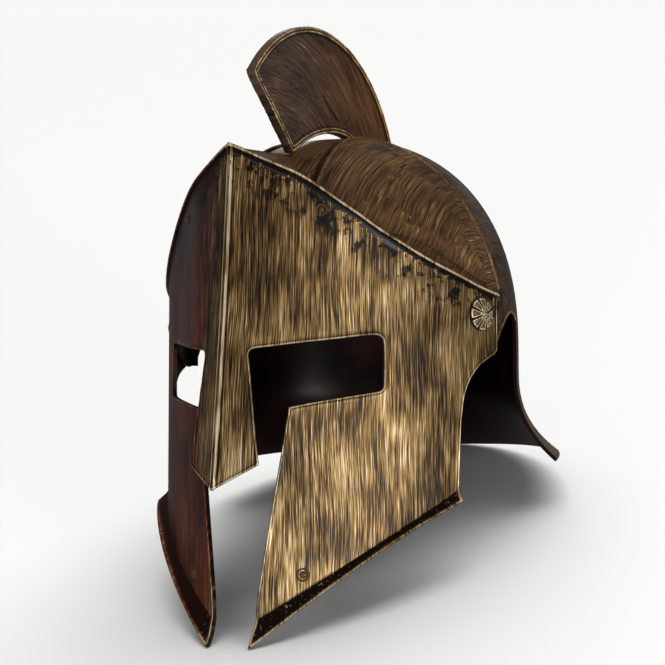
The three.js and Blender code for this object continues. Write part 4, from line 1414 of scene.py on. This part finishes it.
# %% [markdown]
# ## Floor, light and camera
# The helmet stands on a plain pale floor under soft studio light. A broad soft box to the side
# draws the sheen on the cheek, a wide one fills the front, and one behind marks the far edge. They
# stand far out, so that none of them cuts the floor near the helmet. A broad overhead light keeps
# the floor pale. Glossy dark paint mirrors whatever surrounds it, and a white room would turn it
# grey. So the world is dim apart from a thin bright band at the horizon, which is what the camera
# sees behind the floor, and the floor and the overhead light are hidden from reflections. The
# camera looks at the face from the wearer's left, level with the leaned-back helmet, so the crest
# stands upright in view.

# %% Floor
FLOOR = 120.0
corners = [(x * FLOOR, y * FLOOR, 0) for x, y in ((-1, -1), (1, -1), (1, 1), (-1, 1))]
floor_mesh = bpy.data.meshes.new("floor")
floor_mesh.from_pydata(corners, [], [(0, 1, 2, 3)])
floor = bpy.data.objects.new("floor", floor_mesh)
bpy.context.scene.collection.objects.link(floor)
# Matt paper gives the eye an even pale ground that takes soft shadows and shows no light in it.
paper, paper_tree = empty_material("Matt white studio paper")
sheet_shader = add(paper_tree, "ShaderNodeBsdfPrincipled", {
    "Base Color": paint("#fcfcfb"), "Roughness": 0.9})
add(paper_tree, "ShaderNodeOutputMaterial", {"Surface": sheet_shader})
floor_mesh.materials.append(paper)
floor.visible_glossy = False
floor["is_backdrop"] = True

# %% Light
HORIZON = {"height": 0.03, "strength": 0.95, "beyond": 0.13}

world = bpy.data.worlds.new("studio")
world.use_nodes = True
backdrop = world.node_tree
background = backdrop.nodes["Background"]
direction = add(backdrop, "ShaderNodeSeparateXYZ", [
    add(backdrop, "ShaderNodeTexCoord").outputs["Generated"]])
height = add(backdrop, "ShaderNodeMath", [direction.outputs["Z"]], operation="ABSOLUTE")
strength = add(backdrop, "ShaderNodeMapRange", (
    height, 0.0, HORIZON["height"], HORIZON["strength"], HORIZON["beyond"]),
    interpolation_type="SMOOTHSTEP")
background.inputs["Color"].default_value = paint("#ffffff")
backdrop.links.new(strength.outputs["Result"], background.inputs["Strength"])
bpy.context.scene.world = world
middle = Vector(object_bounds()[0]).lerp(Vector(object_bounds()[1]), 0.5)


def soft_light(name, azimuth, elevation, distance, size, power):
    """A soft light that looks at the middle of the helmet. `size` is its width and height."""
    data = bpy.data.lights.new(name, "AREA")
    data.shape = "RECTANGLE"
    data.size, data.size_y = size
    data.energy = power
    a, e = math.radians(azimuth), math.radians(elevation)
    away = Vector((math.sin(a) * math.cos(e), -math.cos(a) * math.cos(e), math.sin(e)))
    lamp = bpy.data.objects.new(name, data)
    lamp.location = middle + away * distance
    lamp.rotation_euler = away.to_track_quat("Z", "Y").to_euler()
    bpy.context.scene.collection.objects.link(lamp)


soft_light("key", 57, 5, 5.6, (1.6, 1.4), 135)
soft_light("front", 20, 12, 8.4, (3.5, 2.1), 86)
soft_light("left_rear", -150, 14, 7.7, (1.05, 2.1), 20)

overhead = bpy.data.lights.new("overhead", "SUN")
overhead.energy = 3.0
overhead.angle = math.radians(70)
overhead_lamp = bpy.data.objects.new("overhead", overhead)
overhead_lamp.rotation_euler = (math.radians(-32), 0, 0)
overhead_lamp.visible_glossy = False
bpy.context.scene.collection.objects.link(overhead_lamp)

# %% [markdown]
# The camera stands about a metre from the helmet with a long lens, so the near side isn't swollen.
# Its place is given in the upright drawing, as two angles and a distance from a target, and is
# leaned back with the helmet.

# %% Camera
CAMERA = {
    "azimuth": 30.0, "elevation": -4.23, "distance": 1094.0, "lens": 114.0647,
    "target": (41.6, 32.4, -98.1)}
azimuth, elevation = math.radians(CAMERA["azimuth"]), math.radians(CAMERA["elevation"])
back_axis = np.array([
    math.sin(azimuth) * math.cos(elevation), -math.cos(azimuth) * math.cos(elevation),
    math.sin(elevation)])
right_axis = np.array([math.cos(azimuth), math.sin(azimuth), 0])
up_axis = np.cross(back_axis, right_axis)
turn = lean_back @ np.column_stack([right_axis, up_axis, back_axis])
eye = placed(np.array(CAMERA["target"]) + back_axis * CAMERA["distance"])[0]
camera_data = bpy.data.cameras.new("camera")
camera_data.sensor_width = 36
camera_data.lens = CAMERA["lens"]
camera_data.clip_end = 400
camera = bpy.data.objects.new("camera", camera_data)
camera.matrix_world = Matrix.Translation(Vector(eye)) @ Matrix(turn.tolist()).to_4x4()
bpy.context.scene.collection.objects.link(camera)
bpy.context.scene.camera = camera
print("the camera stands", round(float(eye[2]), 3), "m above the floor")

# %% [markdown]
# The Standard view shows the colours as they were given, without a film-like curve over them.

# %% Colour management
bpy.context.scene.view_settings.view_transform = "Standard"
bpy.context.scene.view_settings.look = "None"
